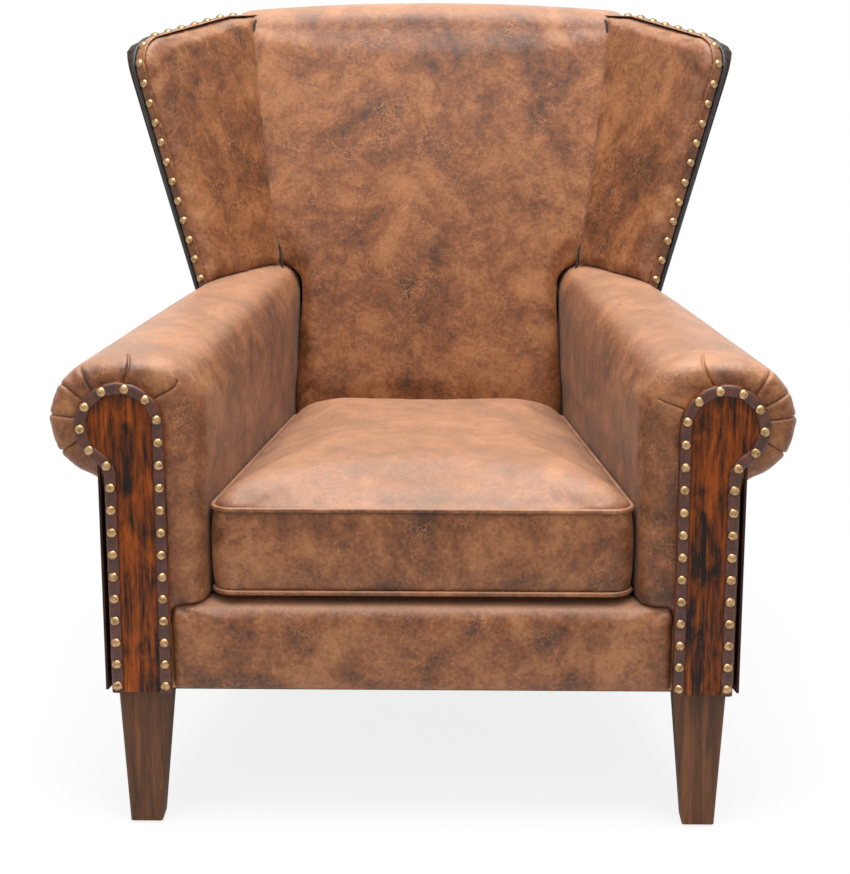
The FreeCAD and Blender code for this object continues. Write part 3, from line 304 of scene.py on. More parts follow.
def cut(piece, *tools):
    """Take tools away from a piece."""
    for tool in tools:
        modifier = piece.modifiers.new("Cut", "BOOLEAN")
        modifier.operation = "DIFFERENCE"
        modifier.solver = "EXACT"
        modifier.object = tool
        apply_all(piece)


def drop(*pieces):
    """Delete construction pieces."""
    for piece in pieces:
        bpy.data.objects.remove(piece)


def mirrored(piece, name):
    """A right-hand twin of a left-hand piece, with its own mesh."""
    pick(piece)
    bpy.ops.object.duplicate(linked=False)
    twin = added(name)
    twin.data.transform(Matrix.Diagonal((-1, 1, 1, 1)))
    edit(twin)
    bpy.ops.mesh.flip_normals()
    done()
    return twin


def copy_out(piece, places):
    """Put copies of a piece's mesh at these places, joined as the one piece."""
    mesh = bmesh.new()
    for place in places:
        copy = piece.data.copy()
        copy.transform(place)
        mesh.from_mesh(copy)
        bpy.data.meshes.remove(copy)
    mesh.to_mesh(piece.data)
    mesh.free()


def skin(piece, spacing, smoothing):
    """Remesh a blank evenly, and ease its cut edges as stretched leather does."""
    remesh = piece.modifiers.new("Skin", "REMESH")
    remesh.mode = "VOXEL"
    remesh.voxel_size = spacing
    ease = piece.modifiers.new("Ease", "SMOOTH")
    ease.factor = 0.5
    ease.iterations = smoothing
    apply_all(piece)


def stuff(piece, held, limit):
    """Swell a skin by cloth simulation. What held says stays, and nothing moves past the limit."""
    start = corners_of(piece)
    group = piece.vertex_groups.new(name="held")
    for index in np.nonzero(held(start))[0]:
        group.add([int(index)], 1.0, "REPLACE")
    cloth = piece.modifiers.new("Stuffing", "CLOTH")
    settings = cloth.settings
    settings.quality = 3
    settings.mass = 0.4
    settings.tension_stiffness = 12
    settings.compression_stiffness = 12
    settings.shear_stiffness = 4
    settings.bending_stiffness = 2
    settings.use_pressure = True
    settings.uniform_pressure_force = 4
    settings.shrink_min = -0.01
    settings.effector_weights.gravity = 0
    settings.vertex_group_mass = "held"
    cloth.point_cache.frame_start = 1
    cloth.point_cache.frame_end = 20
    for number in range(1, 21):
        bpy.context.scene.frame_set(number)
    apply_all(piece)
    bpy.context.scene.frame_set(1)
    moved = corners_of(piece) - start
    reach = np.linalg.norm(moved, axis=1, keepdims=True)
    most = limit(start)[:, None] if callable(limit) else limit
    place_corners(piece, start + moved * np.minimum(1, most / np.maximum(reach, 1e-9)))
    piece.vertex_groups.clear()


def smooth_off(piece, times):
    """Even out what the simulation leaves, and subdivide once."""
    ease = piece.modifiers.new("Ease", "SMOOTH")
    ease.factor = 0.5
    ease.iterations = times
    finer = piece.modifiers.new("Finer", "SUBSURF")
    finer.levels = 1
    finer.render_levels = 1
    apply_all(piece)


def shade(piece, angle=180):
    """Shade smoothly, but keep edges sharper than an angle."""
    pick(piece)
    if angle < 180:
        bpy.ops.object.shade_smooth_by_angle(angle=math.radians(angle))
    else:
        bpy.ops.object.shade_smooth()


def finish_piece(piece, body, material, slot, *replaced):
    """Give a piece its finish and its body, and let it stand for CAD nodes."""
    piece.data.materials.clear()
    piece.data.materials.append(material)
    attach(piece, body)
    if replaced:
        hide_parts(*replaced)
    return piece


def finish_pair(left, look, slot, *nodes):
    """Mirror a left-hand piece and finish both. The look may depend on the hand."""
    pair = (left, mirrored(left, left.name.replace("left", "right")))
    for piece, hand in zip(pair, ("left", "right")):
        finish_piece(piece, "chair", look(hand) if callable(look) else look, slot,
                     *[f"{node}_{hand}" for node in nodes])
    return pair


def round_points(centre, radius, start, stop, steps):
    """Points along an arc as pairs."""
    return [(centre[0] + radius * math.cos(start + (stop - start) * step / steps),
             centre[1] + radius * math.sin(start + (stop - start) * step / steps))
            for step in range(steps + 1)]


def straight(first, last, count):
    """Evenly spaced pairs between two, without these."""
    return [(first[0] + (last[0] - first[0]) * step / count,
             first[1] + (last[1] - first[1]) * step / count) for step in range(1, count)]


# Forms of the chair, in the CAD part's own sections


def arm_line(y):
    """The arm's inner face, outer face, roll centre, roll radius, top and corner at one depth."""
    along = (y - WIDEST) / (ARM_END - WIDEST)
    radius, over, top, corner = (front + (back - front) * along for front, back in
                                 (ROLL_RADIUS, ROLL_OVER, ARM_TOP, ARM_CORNER))
    inner = -SEAT_HALF + SEAT_SLOPE * (y - CASE_FRONT)
    outer = -SIDE_HALF + SIDE_SLOPE * (y - SIDE_FRONT)
    return inner, outer, outer - over + radius, radius, top, corner


def arm_section(y, inset, low):
    """Points round the left arm's section at one depth."""
    inner, outer, roll_x, radius, top, corner = arm_line(y)
    roll_z = top - radius
    inner -= inset
    outer += PANEL
    radius -= inset
    top -= inset
    corner = max(corner - inset, 2)
    fall = math.sqrt(radius ** 2 - (outer - roll_x) ** 2)
    last = math.atan2(-fall, outer - roll_x) + 2 * math.pi
    pairs = [(inner, low)]
    pairs += round_points((inner - corner, top - corner), corner, 0, math.pi / 2, 12)
    pairs += round_points((roll_x, roll_z), radius, math.pi / 2, last, 30)
    pairs.append((outer, low))
    return [(x, y, z) for x, z in pairs]


def arm_blank(name, inset, low, far):
    """The left arm as a closed skin with a rolled front edge."""
    nose = ARM_NOSE - inset
    sections = []
    for step in range(7):
        angle = math.radians(90 - 15 * step)
        y = WALL + inset + nose * (1 - math.sin(angle))
        sections.append(arm_section(y, inset + nose * (1 - math.cos(angle)), low))
    for step in range(1, 13):
        sections.append(arm_section(WIDEST + (far - WIDEST) * step / 12, inset, low))
    return solid_through(name, sections)


def leaning(y, z):
    """How far back a leaning face has come at one height."""
    return y + BACK_SLOPE * max(z - BACK_BEND, 0)


def back_section(x, inset, low):
    """Points round the padded back's section at one place across."""
    ratio = (x / BACK_HALF) ** 2
    crown = CROWN * (1 - 0.85 * ratio)
    top = BACK_TOP - TOP_DROP * ratio - inset
    face = BACK_FACE + inset
    angle = math.atan(BACK_SLOPE)
    roll = FRONT_ROLL - inset
    shoulder = top - roll * (1 - math.sin(angle))
    front = leaning(face, shoulder)
    roll_y = front + roll * math.cos(angle)
    rear = HALF_DEPTH - inset
    rise = top - POST_TOP
    fall = max(REAR_ROLL - inset, rise)
    rear_roll = (fall ** 2 + rise ** 2) / (2 * rise)
    turn = math.atan2(fall, rear_roll - rise)
    pairs = [(face, low), (face, BACK_BEND)]
    for step in range(1, 16):
        z = BACK_BEND + (shoulder - BACK_BEND) * step / 16
        pairs.append((leaning(face, z) - crown * math.sin(math.pi * step / 16), z))
    pairs += round_points((roll_y, top - roll), roll, math.pi - angle, math.pi / 2, 10)
    pairs += round_points((rear - fall, top - rear_roll), rear_roll, math.pi / 2,
                          math.pi / 2 - turn, 6)
    pairs += [(BACK_REAR, BACK_BEND), (BACK_REAR, low)]
    return [(x, y, z) for y, z in pairs]


def back_blank(name, inset, half):
    """The padded back as a closed skin."""
    return solid_through(name, [back_section(half * step / 12, inset, DECK_TOP)
                                for step in range(-12, 13)])


SPLAY = math.radians(37)
TILT = math.radians(15.4)
WING_OUT = Vector((-math.sin(SPLAY), -math.cos(SPLAY), 0))
WING_UP = Vector((-math.cos(SPLAY) * math.sin(TILT), math.sin(SPLAY) * math.sin(TILT),
                  math.cos(TILT)))
WING_IN = Vector((math.cos(SPLAY) * math.cos(TILT), -math.sin(SPLAY) * math.cos(TILT),
                  math.sin(TILT)))


def wing_spot(out, up, inward):
    """A point from three distances along the left wing's own directions."""
    return WING_SEAM + WING_OUT * out + WING_UP * up + WING_IN * inward


def wing_path(inset):
    """The wing's outline from the front foot up round its top corner to the rear."""
    edge_lean = math.atan2(WING_LEAN, WING_CORNER)
    top_fall = math.atan2(WING_TOP - WING_CORNER, WING_WIDTH)
    turn = math.pi / 2 + edge_lean - top_fall
    edge_in = Vector((-math.cos(edge_lean), math.sin(edge_lean)))
    top_in = Vector((-math.sin(top_fall), -math.cos(top_fall)))
    along_edge = Vector((math.sin(edge_lean), math.cos(edge_lean)))
    along_top = Vector((-math.cos(top_fall), math.sin(top_fall)))
    back_off = WING_ROUND * math.tan(turn / 2)
    corner = Vector((WING_WIDTH, WING_CORNER))
    first = corner - along_edge * back_off + edge_in * inset
    last = corner + along_top * back_off + top_in * inset
    centre = first + edge_in * (WING_ROUND - inset)
    arc = round_points(centre, WING_ROUND - inset, -edge_lean, math.pi / 2 - top_fall, 16)
    foot = first + along_edge * ((WING_FOOT - first.y) / along_edge.y)
    level = WING_TOP - inset
    kink = last + along_top * ((level - last.y) / along_top.y)
    path = [foot + (first - foot) * step / 12 for step in range(12)]
    path += [Vector(pair) for pair in arc]
    path += [last + (kink - last) * step / 6 for step in range(1, 7)]
    path.append(Vector((WING_REAR, level)))
    return path


def wing_section(inset, inward):
    """The wing's closed outline in one plane parallel to its face."""
    corners = [wing_spot(spot.x, spot.y, inward) for spot in wing_path(inset)]
    return corners + [wing_spot(WING_REAR, WING_FOOT, inward)]


def wing_blank(name, inset, outer, inner, nose):
    """The left wing as a closed skin with its inner edge rounded."""
    sections = []
    for step in range(5):
        angle = math.radians(90 - 22.5 * step)
        sections.append(wing_section(inset + nose * (1 - math.cos(angle)),
                                     inner - nose * (1 - math.sin(angle))))
    sections.append(wing_section(inset, outer))
    return solid_through(name, sections)


def walk(path, closed=False):
    """Distances along a path of points."""
    path = [Vector(spot) for spot in path] + ([Vector(path[0])] if closed else [])
    run = [0.0]
    for first, last in zip(path, path[1:]):
        run.append(run[-1] + (last - first).length)
    return path, run


def spot_on(path, run, distance):
    """The point and direction of a path at one distance along it."""
    for index in range(1, len(run)):
        if distance <= run[index] + 1e-6 or index == len(run) - 1:
            share = (distance - run[index - 1]) / max(run[index] - run[index - 1], 1e-9)
            way = path[index] - path[index - 1]
            return path[index - 1] + way * share, way.normalized()


def facing_path():
    """The middle of the leather strip round the left facing, from the inner foot round."""
    edge_right = FACING_RIGHT - STRIP_HALF
    edge_left = FACING_LEFT + STRIP_HALF
    head = HEAD_RADIUS - STRIP_HALF
    neck = NECK_RADIUS + STRIP_HALF
    neck_x = edge_left - neck
    neck_z = HEAD_Z - math.sqrt((head + neck) ** 2 - (HEAD_X - neck_x) ** 2)
    meet_x = neck_x + (HEAD_X - neck_x) * neck / (head + neck)
    meet_z = neck_z + (HEAD_Z - neck_z) * neck / (head + neck)
    swing = math.atan2(meet_z - HEAD_Z, meet_x - HEAD_X) % (2 * math.pi)
    pairs = [(edge_right, FOOT + (HEAD_Z - FOOT) * step / 30) for step in range(30)]
    pairs += round_points((HEAD_X, HEAD_Z), head, 0, swing, 40)
    neck_turn = math.atan2(meet_z - neck_z, meet_x - neck_x)
    pairs += round_points((neck_x, neck_z), neck, neck_turn, 0, 12)[1:]
    pairs += [(edge_left, neck_z + (FOOT - neck_z) * step / 24) for step in range(1, 25)]
    return [Vector((x, FACING_FRONT, z)) for x, z in pairs]


def cushion_section(inset, z):
    """Points round the cushion's plan with rounded corners, drawn in, at one height."""
    slant = (CASE_FRONT_WIDTH - CASE_BACK_WIDTH) / 2 / CASE_DEPTH
    front_y = CASE_FRONT + inset
    back_y = CASE_FRONT + CASE_DEPTH - inset
    edge = inset * math.sqrt(1 + slant ** 2)
    front_x = CASE_FRONT_WIDTH / 2 - slant * inset - edge
    back_x = CASE_BACK_WIDTH / 2 + slant * inset - edge
    radius = max(CASE_ROUND - inset, 6) + 0.35 * inset
    corners = [Vector((front_x, front_y)), Vector((back_x, back_y)),
               Vector((-back_x, back_y)), Vector((-front_x, front_y))]
    pairs = []
    for index, corner in enumerate(corners):
        before = (corners[index - 1] - corner).normalized()
        after = (corners[(index + 1) % 4] - corner).normalized()
        half_angle = before.angle(after) / 2
        centre = corner + (before + after).normalized() * (radius / math.sin(half_angle))
        first = corner + before * (radius / math.tan(half_angle)) - centre
        start = math.atan2(first.y, first.x)
        arc = round_points(centre, radius, start, start + math.pi - 2 * half_angle, 8)
        if pairs:
            pairs += straight(pairs[-1], arc[0], 14)
        pairs += arc
    pairs += straight(pairs[-1], pairs[0], 14)
    return [(x, y, z) for x, y in pairs]


def cord_piece(name, path, radius, closed=False, sides=12, wave=0.0, wave_length=9.0):
    """Round piping along a path in millimetres, with an even gather if wanted."""
    spots, run = walk(path, closed)
    total = run[-1]
    count = max(8, round(total / 3.5))
    rows = []
    for step in range(count + (0 if closed else 1)):
        distance = total * step / count
        spot, way = spot_on(spots, run, distance)
        side = way.cross(Vector((0, 0, 1)))
        if side.length < 0.2:
            side = way.cross(Vector((0, 1, 0)))
        side.normalize()
        over = side.cross(way)
        size = radius * (1 + wave * math.sin(2 * math.pi * distance / wave_length))
        rows.append([spot + side * (size * math.cos(2 * math.pi * turn / sides))
                     + over * (size * math.sin(2 * math.pi * turn / sides))
                     for turn in range(sides)])
    if closed:
        rows.append(rows[0])
    piece = grid_through(name, rows, True)
    close_up(piece, not closed)
    shade(piece)
    return piece


# Materials: each is named for the real stuff and how its surface was made


def add_node(tree, kind, inputs=None, out=0, stops=(), **settings):
    """Add a node with its settings, ramp stops, values and links, and give back one output."""
    made = tree.nodes.new("ShaderNode" + kind)
    for name, value in settings.items():
        setattr(made, name, value)
    for name, value in (inputs or {}).items():
        if isinstance(value, bpy.types.NodeSocket):
            tree.links.new(value, made.inputs[name])
        else:
            made.inputs[name].default_value = value
    if stops:
        band = made.color_ramp.elements
        while len(band) < len(stops):
            band.new(0.5)
        for element, (at, colour) in zip(band, stops):
            element.position = at
            element.color = (*colour, 1)
    return made.outputs[out] if made.outputs else None


def new_material(name):
    """An empty material, and the function that adds nodes to it."""
    material = bpy.data.materials.new(name)
    material.use_nodes = True
    material.node_tree.nodes.clear()
    return material, partial(add_node, material.node_tree)


def noises(add, spots, *kinds):
    """Noise patterns, each with its features' size in metres, detail, roughness and swirl."""
    return [add("TexNoise", {"Vector": spots, "Scale": 1 / size, "Detail": detail,
                             "Roughness": rough, "Distortion": swirl})
            for size, detail, rough, swirl in kinds]


def weighed(add, *parts):
    """The sum of patterns, each with its weight."""
    total = 0.0
    for pattern, weight in parts:
        total = add("Math", {0: pattern, 1: weight, 2: total}, operation="MULTIPLY_ADD")
    return total


def tinted(colour, factor, lift=0.0):
    """A colour made darker or brighter."""
    return [min(1, channel * factor + lift) for channel in colour]


def halfway(first, last):
    """The colour halfway between two."""
    return [(one + other) / 2 for one, other in zip(first, last)]


BLACK = (0, 0, 0)
WHITE = (1, 1, 1)


def waxed_leather(name, dark, middle, light, shift):
    """Distressed aniline leather, waxed and finely cracked, with painted top light that makes
    upward faces paler.
    """
    material, add = new_material(name)
    spots = add("Mapping", {"Vector": add("TexCoord", out="Object"), "Location": shift})
    cloud, patch, speck, wear, handled = noises(
        add, spots, (0.10, 5, 0.62, 0.8), (0.030, 6, 0.68, 0.5), (0.0055, 5, 0.72, 0),
        (0.045, 4, 0.7, 0), (0.06, 6, 0.72, 1.2))
    colour = add("ValToRGB", {"Fac": weighed(add, (cloud, 0.44), (patch, 0.30), (speck, 0.26))},
                 stops=[(0.40, dark), (0.49, middle), (0.57, halfway(middle, light)),
                        (0.68, light)])
    # Fine cracks in the wax, about 7 mm apart, only where the hide was worked hardest
    warp = add("TexNoise", {"Vector": spots, "Scale": 90.0, "Detail": 3.0}, out="Color")
    bent = add("VectorMath", {0: warp, 1: (0.012, 0.012, 0.012)}, operation="MULTIPLY")
    bent = add("VectorMath", {0: spots, 1: bent}, operation="ADD")
    cell = add("TexVoronoi", {"Vector": bent, "Scale": 150.0}, feature="DISTANCE_TO_EDGE")
    crack = add("ValToRGB", {"Fac": cell}, stops=[(0.0, WHITE), (0.07, BLACK)])
    worked = add("ValToRGB", {"Fac": wear}, stops=[(0.50, BLACK), (0.66, WHITE)])
    crack = add("Math", {0: crack, 1: worked}, operation="MULTIPLY")
    # Dark smudges left by handling
    smudge = add("ValToRGB", {"Fac": handled}, stops=[(0.55, BLACK), (0.74, WHITE)])
    # Painted top light: upward faces are mixed towards a pale tan, as a lamp above would light
    # them
    upward = add("SeparateXYZ", {"Vector": add("NewGeometry", out="Normal")}, out="Z")
    painted_top_light = add("MapRange", {"Value": upward, "From Min": 0.45, "From Max": 0.98},
                 interpolation_type="SMOOTHSTEP")
    # Real cracks and smudges, then the painted top light, are mixed into the colour
    for mask, most, tint in ((crack, 0.45, tinted(light, 1.5, 0.03)),
                             (smudge, 0.55, tinted(dark, 0.62)),
                             (painted_top_light, 0.34, linear("#dcae90"))):
        share = add("Math", {0: mask, 1: most}, operation="MULTIPLY")
        colour = add("Mix", {0: share, 6: colour, 7: (*tint, 1)}, out=2, data_type="RGBA")
    # Pores 1.6 mm apart, coarser than real ones so that they show
    pores = add("TexVoronoi", {"Vector": spots, "Scale": 620.0})
    height = weighed(add, (crack, -0.5), (pores, 0.35), (patch, 1.6), (speck, 0.8))
    # The sheen is the nap, smoothed by rubbing, which lightens the leather where it is seen at a
    # slant
    add("OutputMaterial", {"Surface": add("BsdfPrincipled", {
        "Base Color": colour,
        "Roughness": add("Math", {0: patch, 1: 0.22, 2: 0.33}, operation="MULTIPLY_ADD"),
        "Normal": add("Bump", {"Height": height, "Strength": 0.5, "Distance": 0.0008}),
        "IOR": 1.5, "Specular IOR Level": 0.38, "Sheen Weight": 0.13, "Sheen Roughness": 0.42,
        "Sheen Tint": (1.0, 0.88, 0.78, 1)})})
    return material


def brindle_hide(name, red, black, shift, share=0.5, lie=0.05, depth=0.0012):
    """Hair-on cowhide: short glossy hair lying downwards, red-brown with black streaks."""
    material, add = new_material(name)
    patches, hairs = (add("Mapping", {"Vector": add("TexCoord", out="Object"),
                                      "Location": shift, "Scale": scale})
                      for scale in ((1.5, 1.5, 0.55), (1.0, 1.0, lie)))
    big, = noises(add, patches, (0.035, 5, 0.65, 0.9))
    hair, lock = noises(add, hairs, (0.0026, 4, 0.75, 0), (0.008, 3, 0.6, 0.3))
    middle = 0.45 + 0.14 * share
    colour = add("ValToRGB", {"Fac": weighed(add, (big, 0.42), (lock, 0.30), (hair, 0.34))},
                 stops=[(middle - 0.06, black), (middle, halfway(red, black)),
                        (middle + 0.05, red), (middle + 0.15, tinted(red, 2.0))])
    height = weighed(add, (lock, 1.4), (hair, 1.0))
    add("OutputMaterial", {"Surface": add("BsdfPrincipled", {
        "Base Color": colour, "Roughness": 0.44, "Specular IOR Level": 0.2,
        "Normal": add("Bump", {"Height": height, "Strength": 0.75, "Distance": depth})})})
    return material


def glazed_leather(name, base, roughness, grain):
    """Glazed leather pulled tight: a smooth shine, mottled darker and lighter."""
    material, add = new_material(name)
    cloud, fine = noises(add, add("TexCoord", out="Object"), (grain * 8, 5, 0.65, 0.6),
                         (grain, 4, 0.7, 0))
    colour = add("ValToRGB", {"Fac": weighed(add, (cloud, 0.7), (fine, 0.3))},
                 stops=[(0.36, tinted(base, 0.4)), (0.5, base), (0.68, tinted(base, 2.2))])
    add("OutputMaterial", {"Surface": add("BsdfPrincipled", {
        "Base Color": colour, "Roughness": roughness,
        "Normal": add("Bump", {"Height": fine, "Strength": 0.6, "Distance": 0.0008})})})
    return material


def antique_brass(name, base):
    """Antiqued brass, spun into domes, its tarnish taken back by rubbing: bright tops, brown in
    the pits.
    """
    material, add = new_material(name)
    tarnish, pits = noises(add, add("TexCoord", out="Object"), (0.005, 4, 0.65, 0),
                           (0.0012, 3, 0.6, 0))
    add("OutputMaterial", {"Surface": add("BsdfPrincipled", {
        "Base Color": add("ValToRGB", {"Fac": tarnish},
                          stops=[(0.38, tinted(base, 0.45)), (0.56, base)]),
        "Roughness": add("Math", {0: tarnish, 1: -0.3, 2: 0.44}, operation="MULTIPLY_ADD"),
        "Normal": add("Bump", {"Height": pits, "Strength": 0.25, "Distance": 0.0003}),
        "Metallic": 1.0})})
    return material


def stained_wood(name, base, ring, roughness, contrast):
    """Stained and waxed hardwood with its grain running up the piece."""
    material, add = new_material(name)
    grain, vessels = (add("Mapping", {"Vector": add("TexCoord", out="Object"),
                                      "Scale": (1, 1, stretch)}) for stretch in (0.05, 0.035))
    figure, = noises(add, grain, (ring, 5, 0.6, 0.8))
    pores, = noises(add, vessels, (0.0009, 3, 0.7, 0))
    total = weighed(add, (figure, 0.65), (pores, 0.35))
    colour = add("ValToRGB", {"Fac": total},
                 stops=[(0.36, tinted(base, 1 - contrast)), (0.50, base),
                        (0.64, tinted(base, 1 + 1.4 * contrast))])
    add("OutputMaterial", {"Surface": add("BsdfPrincipled", {
        "Base Color": colour, "Roughness": roughness, "Specular IOR Level": 0.3,
        "Normal": add("Bump", {"Height": total, "Strength": 0.35, "Distance": 0.0005})})})
    return material


def woven_cloth(name, base, thread):
    """Plain woven cloth, drawn with threads coarse enough to show."""
    material, add = new_material(name)
    spots = add("TexCoord", out="Object")
    # At a scale of 1 the bands of a wave are 0.314 m apart
    warp, weft = (add("TexWave", {"Vector": spots, "Scale": 0.3125 / thread}, out="Fac",
                      bands_direction=way) for way in ("X", "Z"))
    weave = add("Math", {0: warp, 1: weft}, operation="MULTIPLY")
    cloud, = noises(add, spots, (0.03, 4, 0.6, 0))
    add("OutputMaterial", {"Surface": add("BsdfPrincipled", {
        "Base Color": add("ValToRGB", {"Fac": weighed(add, (cloud, 0.7), (weave, 0.3))},
                          stops=[(0.3, tinted(base, 0.6)), (0.62, base)]),
        "Roughness": 0.9,
        "Normal": add("Bump", {"Height": weave, "Strength": 0.5, "Distance": 0.0006})})})
    return material


def bright_steel(name, base):
    """Zinc-plated mild steel, rolled or drawn, with faint scuffs."""
    material, add = new_material(name)
    scuff, = noises(add, add("TexCoord", out="Object"), (0.004, 5, 0.7, 0))
    add("OutputMaterial", {"Surface": add("BsdfPrincipled", {
        "Base Color": add("ValToRGB", {"Fac": scuff},
                          stops=[(0.4, tinted(base, 0.6)), (0.6, base)]),
        "Roughness": add("Math", {0: scuff, 1: 0.3, 2: 0.2}, operation="MULTIPLY_ADD"),
        "Metallic": 1.0})})
    return material


MATERIALS = {}


def finish(name, maker, *values, **settings):
    """One of the chair's materials, made the first time that it is asked for."""
    if name not in MATERIALS:
        MATERIALS[name] = maker(name, *values, **settings)
    return MATERIALS[name]


def tan_leather(panel):
    """The tan leather, with its mottling in another place on each panel."""
    shifts = {"arm_left": (0.31, 0.12, 0.40), "arm_right": (1.27, 0.55, 0.11),
              "wing_left": (2.3, 0.71, 0.93), "wing_right": (3.1, 1.4, 0.27),
              "back": (4.4, 0.3, 0.62), "cushion": (5.2, 2.1, 0.8), "rail": (6.7, 0.9, 0.35),
              "boxing": (7.5, 1.9, 0.2)}
    tones = colours()
    return finish(f"waxed_leather_{panel}", waxed_leather, tones.tan_dark, tones.tan_middle,
                  tones.tan_light, shifts[panel])


# Pieces


def pleat(piece, folds):
    """Press the stitched folds of the arm front into the leather, with a puff beside each."""
    settings = sizes()
    spots = corners_of(piece) / MM
    facing = normals_of(piece)
    pushed = np.zeros(len(spots))
    x, y, z = spots.T
    _, _, roll_x, radius, top, _ = arm_line(np.clip(y, WIDEST, ARM_END))
    roll_z = top - radius
    reach = np.hypot(x - roll_x, z - roll_z)
    angle = np.degrees(np.arctan2(z - roll_z, x - roll_x))
    depth = settings.pleat_depth / MM
    width = settings.pleat_width / MM
    for start, stop, run in folds:
        share = np.clip((y - WALL) / run, 0, 1.3)
        middle = start + (stop - start) * share
        gap = (angle - middle + 180) % 360 - 180
        aside = np.abs(np.radians(gap) * reach)
        fade = np.clip((run - (y - WALL)) / (0.45 * run), 0, 1)
        fade = fade * fade * (3 - 2 * fade)
        fade *= (reach > 40) & (reach < 96)
        pushed -= depth * fade * np.exp(-(aside / width) ** 2)
        pushed += 0.75 * fade * np.exp(-((aside - 4.5 * width) / (3 * width)) ** 2)
    place_corners(piece, (spots + facing * pushed[:, None]) * MM)


def refine(piece, chosen, cuts):
    """Subdivide the faces whose middle a test picks."""
    pick(piece)
    bpy.ops.object.mode_set(mode="EDIT")
    bpy.ops.mesh.select_all(action="DESELECT")
    bpy.ops.mesh.select_mode(type="FACE")
    mesh = bmesh.from_edit_mesh(piece.data)
    for face in mesh.faces:
        face.select = chosen(face.calc_center_median() / MM)
    bmesh.update_edit_mesh(piece.data)
    bpy.ops.mesh.subdivide(number_cuts=cuts, smoothness=0.0)
    done()


def dome(name):
    """One nail head: half a sphere flattened to a low dome, its cut side filled flat."""
    settings = sizes()
    radius = settings.nail_width / 2
    bpy.ops.object.select_all(action="DESELECT")
    bpy.ops.mesh.primitive_uv_sphere_add(segments=16, ring_count=10, radius=radius)
    piece = added(name)
    edit(piece)
    bpy.ops.mesh.bisect(plane_co=(0, 0, 0), plane_no=(0, 0, 1), clear_inner=True, use_fill=True)
    bpy.ops.mesh.select_all(action="SELECT")
    bpy.ops.transform.resize(value=(1, 1, settings.nail_rise / radius))
    done()
    return piece


def nail_row(name, nails):
    """Nail heads set about square to the leather, each a little crooked, as one piece."""
    places = []
    for number, (spot, outward) in enumerate(nails):
        lean = Vector((math.sin(number * 12.9898), math.cos(number * 78.233),
                       math.sin(number * 37.719))) * 0.045
        turn = (outward + lean).to_track_quat("Z", "Y").to_matrix().to_4x4()
        places.append(Matrix.Translation(spot * MM) @ turn)
    head = dome(name)
    copy_out(head, places)
    shade(head, 50)
    return head


def nail_distances(first, last, pitch):
    """Evenly pitched distances between two."""
    count = round((last - first) / pitch)
    return [first + (last - first) * index / count for index in range(count + 1)]


def pinched_strip(name, path, run, nails, half, rise, across_at, outward_at, low):
    """A leather strip along a path, puffed up between its nails and pinched under them."""
    rows = []
    total = run[-1]
    count = round(total / 2.0)
    for step in range(count + 1):
        distance = total * step / count
        spot, way = spot_on(path, run, distance)
        nearest = min(abs(distance - nail) for nail in nails)
        puff = math.sin(min(1.0, nearest / 9.0) * math.pi / 2)
        across = across_at(spot, way)
        outward = outward_at(spot, way)
        width = half * (0.86 + 0.14 * puff)
        high = low + (rise - low) * (0.42 + 0.58 * puff)
        ripple = 0.18 * math.sin(distance * 1.9) * puff
        row = []
        for side in range(9):
            turn = math.pi * side / 8
            shape = math.sin(turn) ** 0.6 if 0 < side < 8 else 0.0
            row.append(spot + across * (-width * math.cos(turn))
                       + outward * (shape * (high + ripple)))
        rows.append(row)
    piece = grid_through(name, rows)
    thicken(piece, 0.0012)
    shade(piece, 70)
    return piece


class ArmchairOperator:
    """Shared settings of the chair's operators."""

    bl_options = {"REGISTER", "UNDO"}


class CHAIR_OT_arms(ArmchairOperator, bpy.types.Operator):
    """Make both padded arms with their stitched folds"""

    bl_idname = "chair.arms"
    bl_label = "Arms"

    def execute(self, context):
        """Build the left arm from the CAD sections, then mirror it."""
        settings = sizes()
        left = arm_blank("arm_leather_left", 0, FOOT, ARM_END)
        below = slab("below_seat", (FACING_RIGHT, -500, FOOT - 20), (0, 500, SEAT_TOP))
        cut(left, below)
        drop(below)
        skin(left, settings.voxel, 5)

        def held(spots):
            """Where the arm is tacked down: to the seat, back, outside panel and facing."""
            x, y, z = spots.T
            behind_facing = (y < -0.3995) & (np.hypot(x + 0.363, z - 0.516) < 0.05)
            return ((z < 0.30) | (y > 0.19) | ((x < -0.30) & (z < 0.42))
                    | ((x > -0.30) & (z < 0.45)) | behind_facing)

        def near_folds(spot):
            """Whether a face lies round the front of the roll."""
            return spot.y < -345 and spot.z > 440

        stuff(left, held, settings.swell * 0.6)
        smooth_off(left, 3)
        refine(left, near_folds, 2)
        right = mirrored(left, "arm_leather_right")
        # Each pleat: its angle round the roll at the facing and where it runs out, and its length
        pleat(left, [(27, 50, 34), (70, 78, 44), (119, 121, 34), (141, 148, 30), (174, 177, 28),
                     (-148, -147, 26)])
        flip = Matrix.Diagonal((-1, 1, 1, 1))
        right.data.transform(flip)
        right.data.flip_normals()
        pleat(right, [(16, 30, 30), (60, 66, 44), (124, 127, 36), (150, 152, 24), (174, 176, 28),
                      (-149, -147, 26)])
        right.data.transform(flip)
        right.data.flip_normals()
        for piece, hand in ((left, "left"), (right, "right")):
            shade(piece)
            finish_piece(piece, "chair", tan_leather(f"arm_{hand}"), "tan_leather",
                         f"arm_cover_{hand}", f"arm_pad_{hand}")
        return {"FINISHED"}


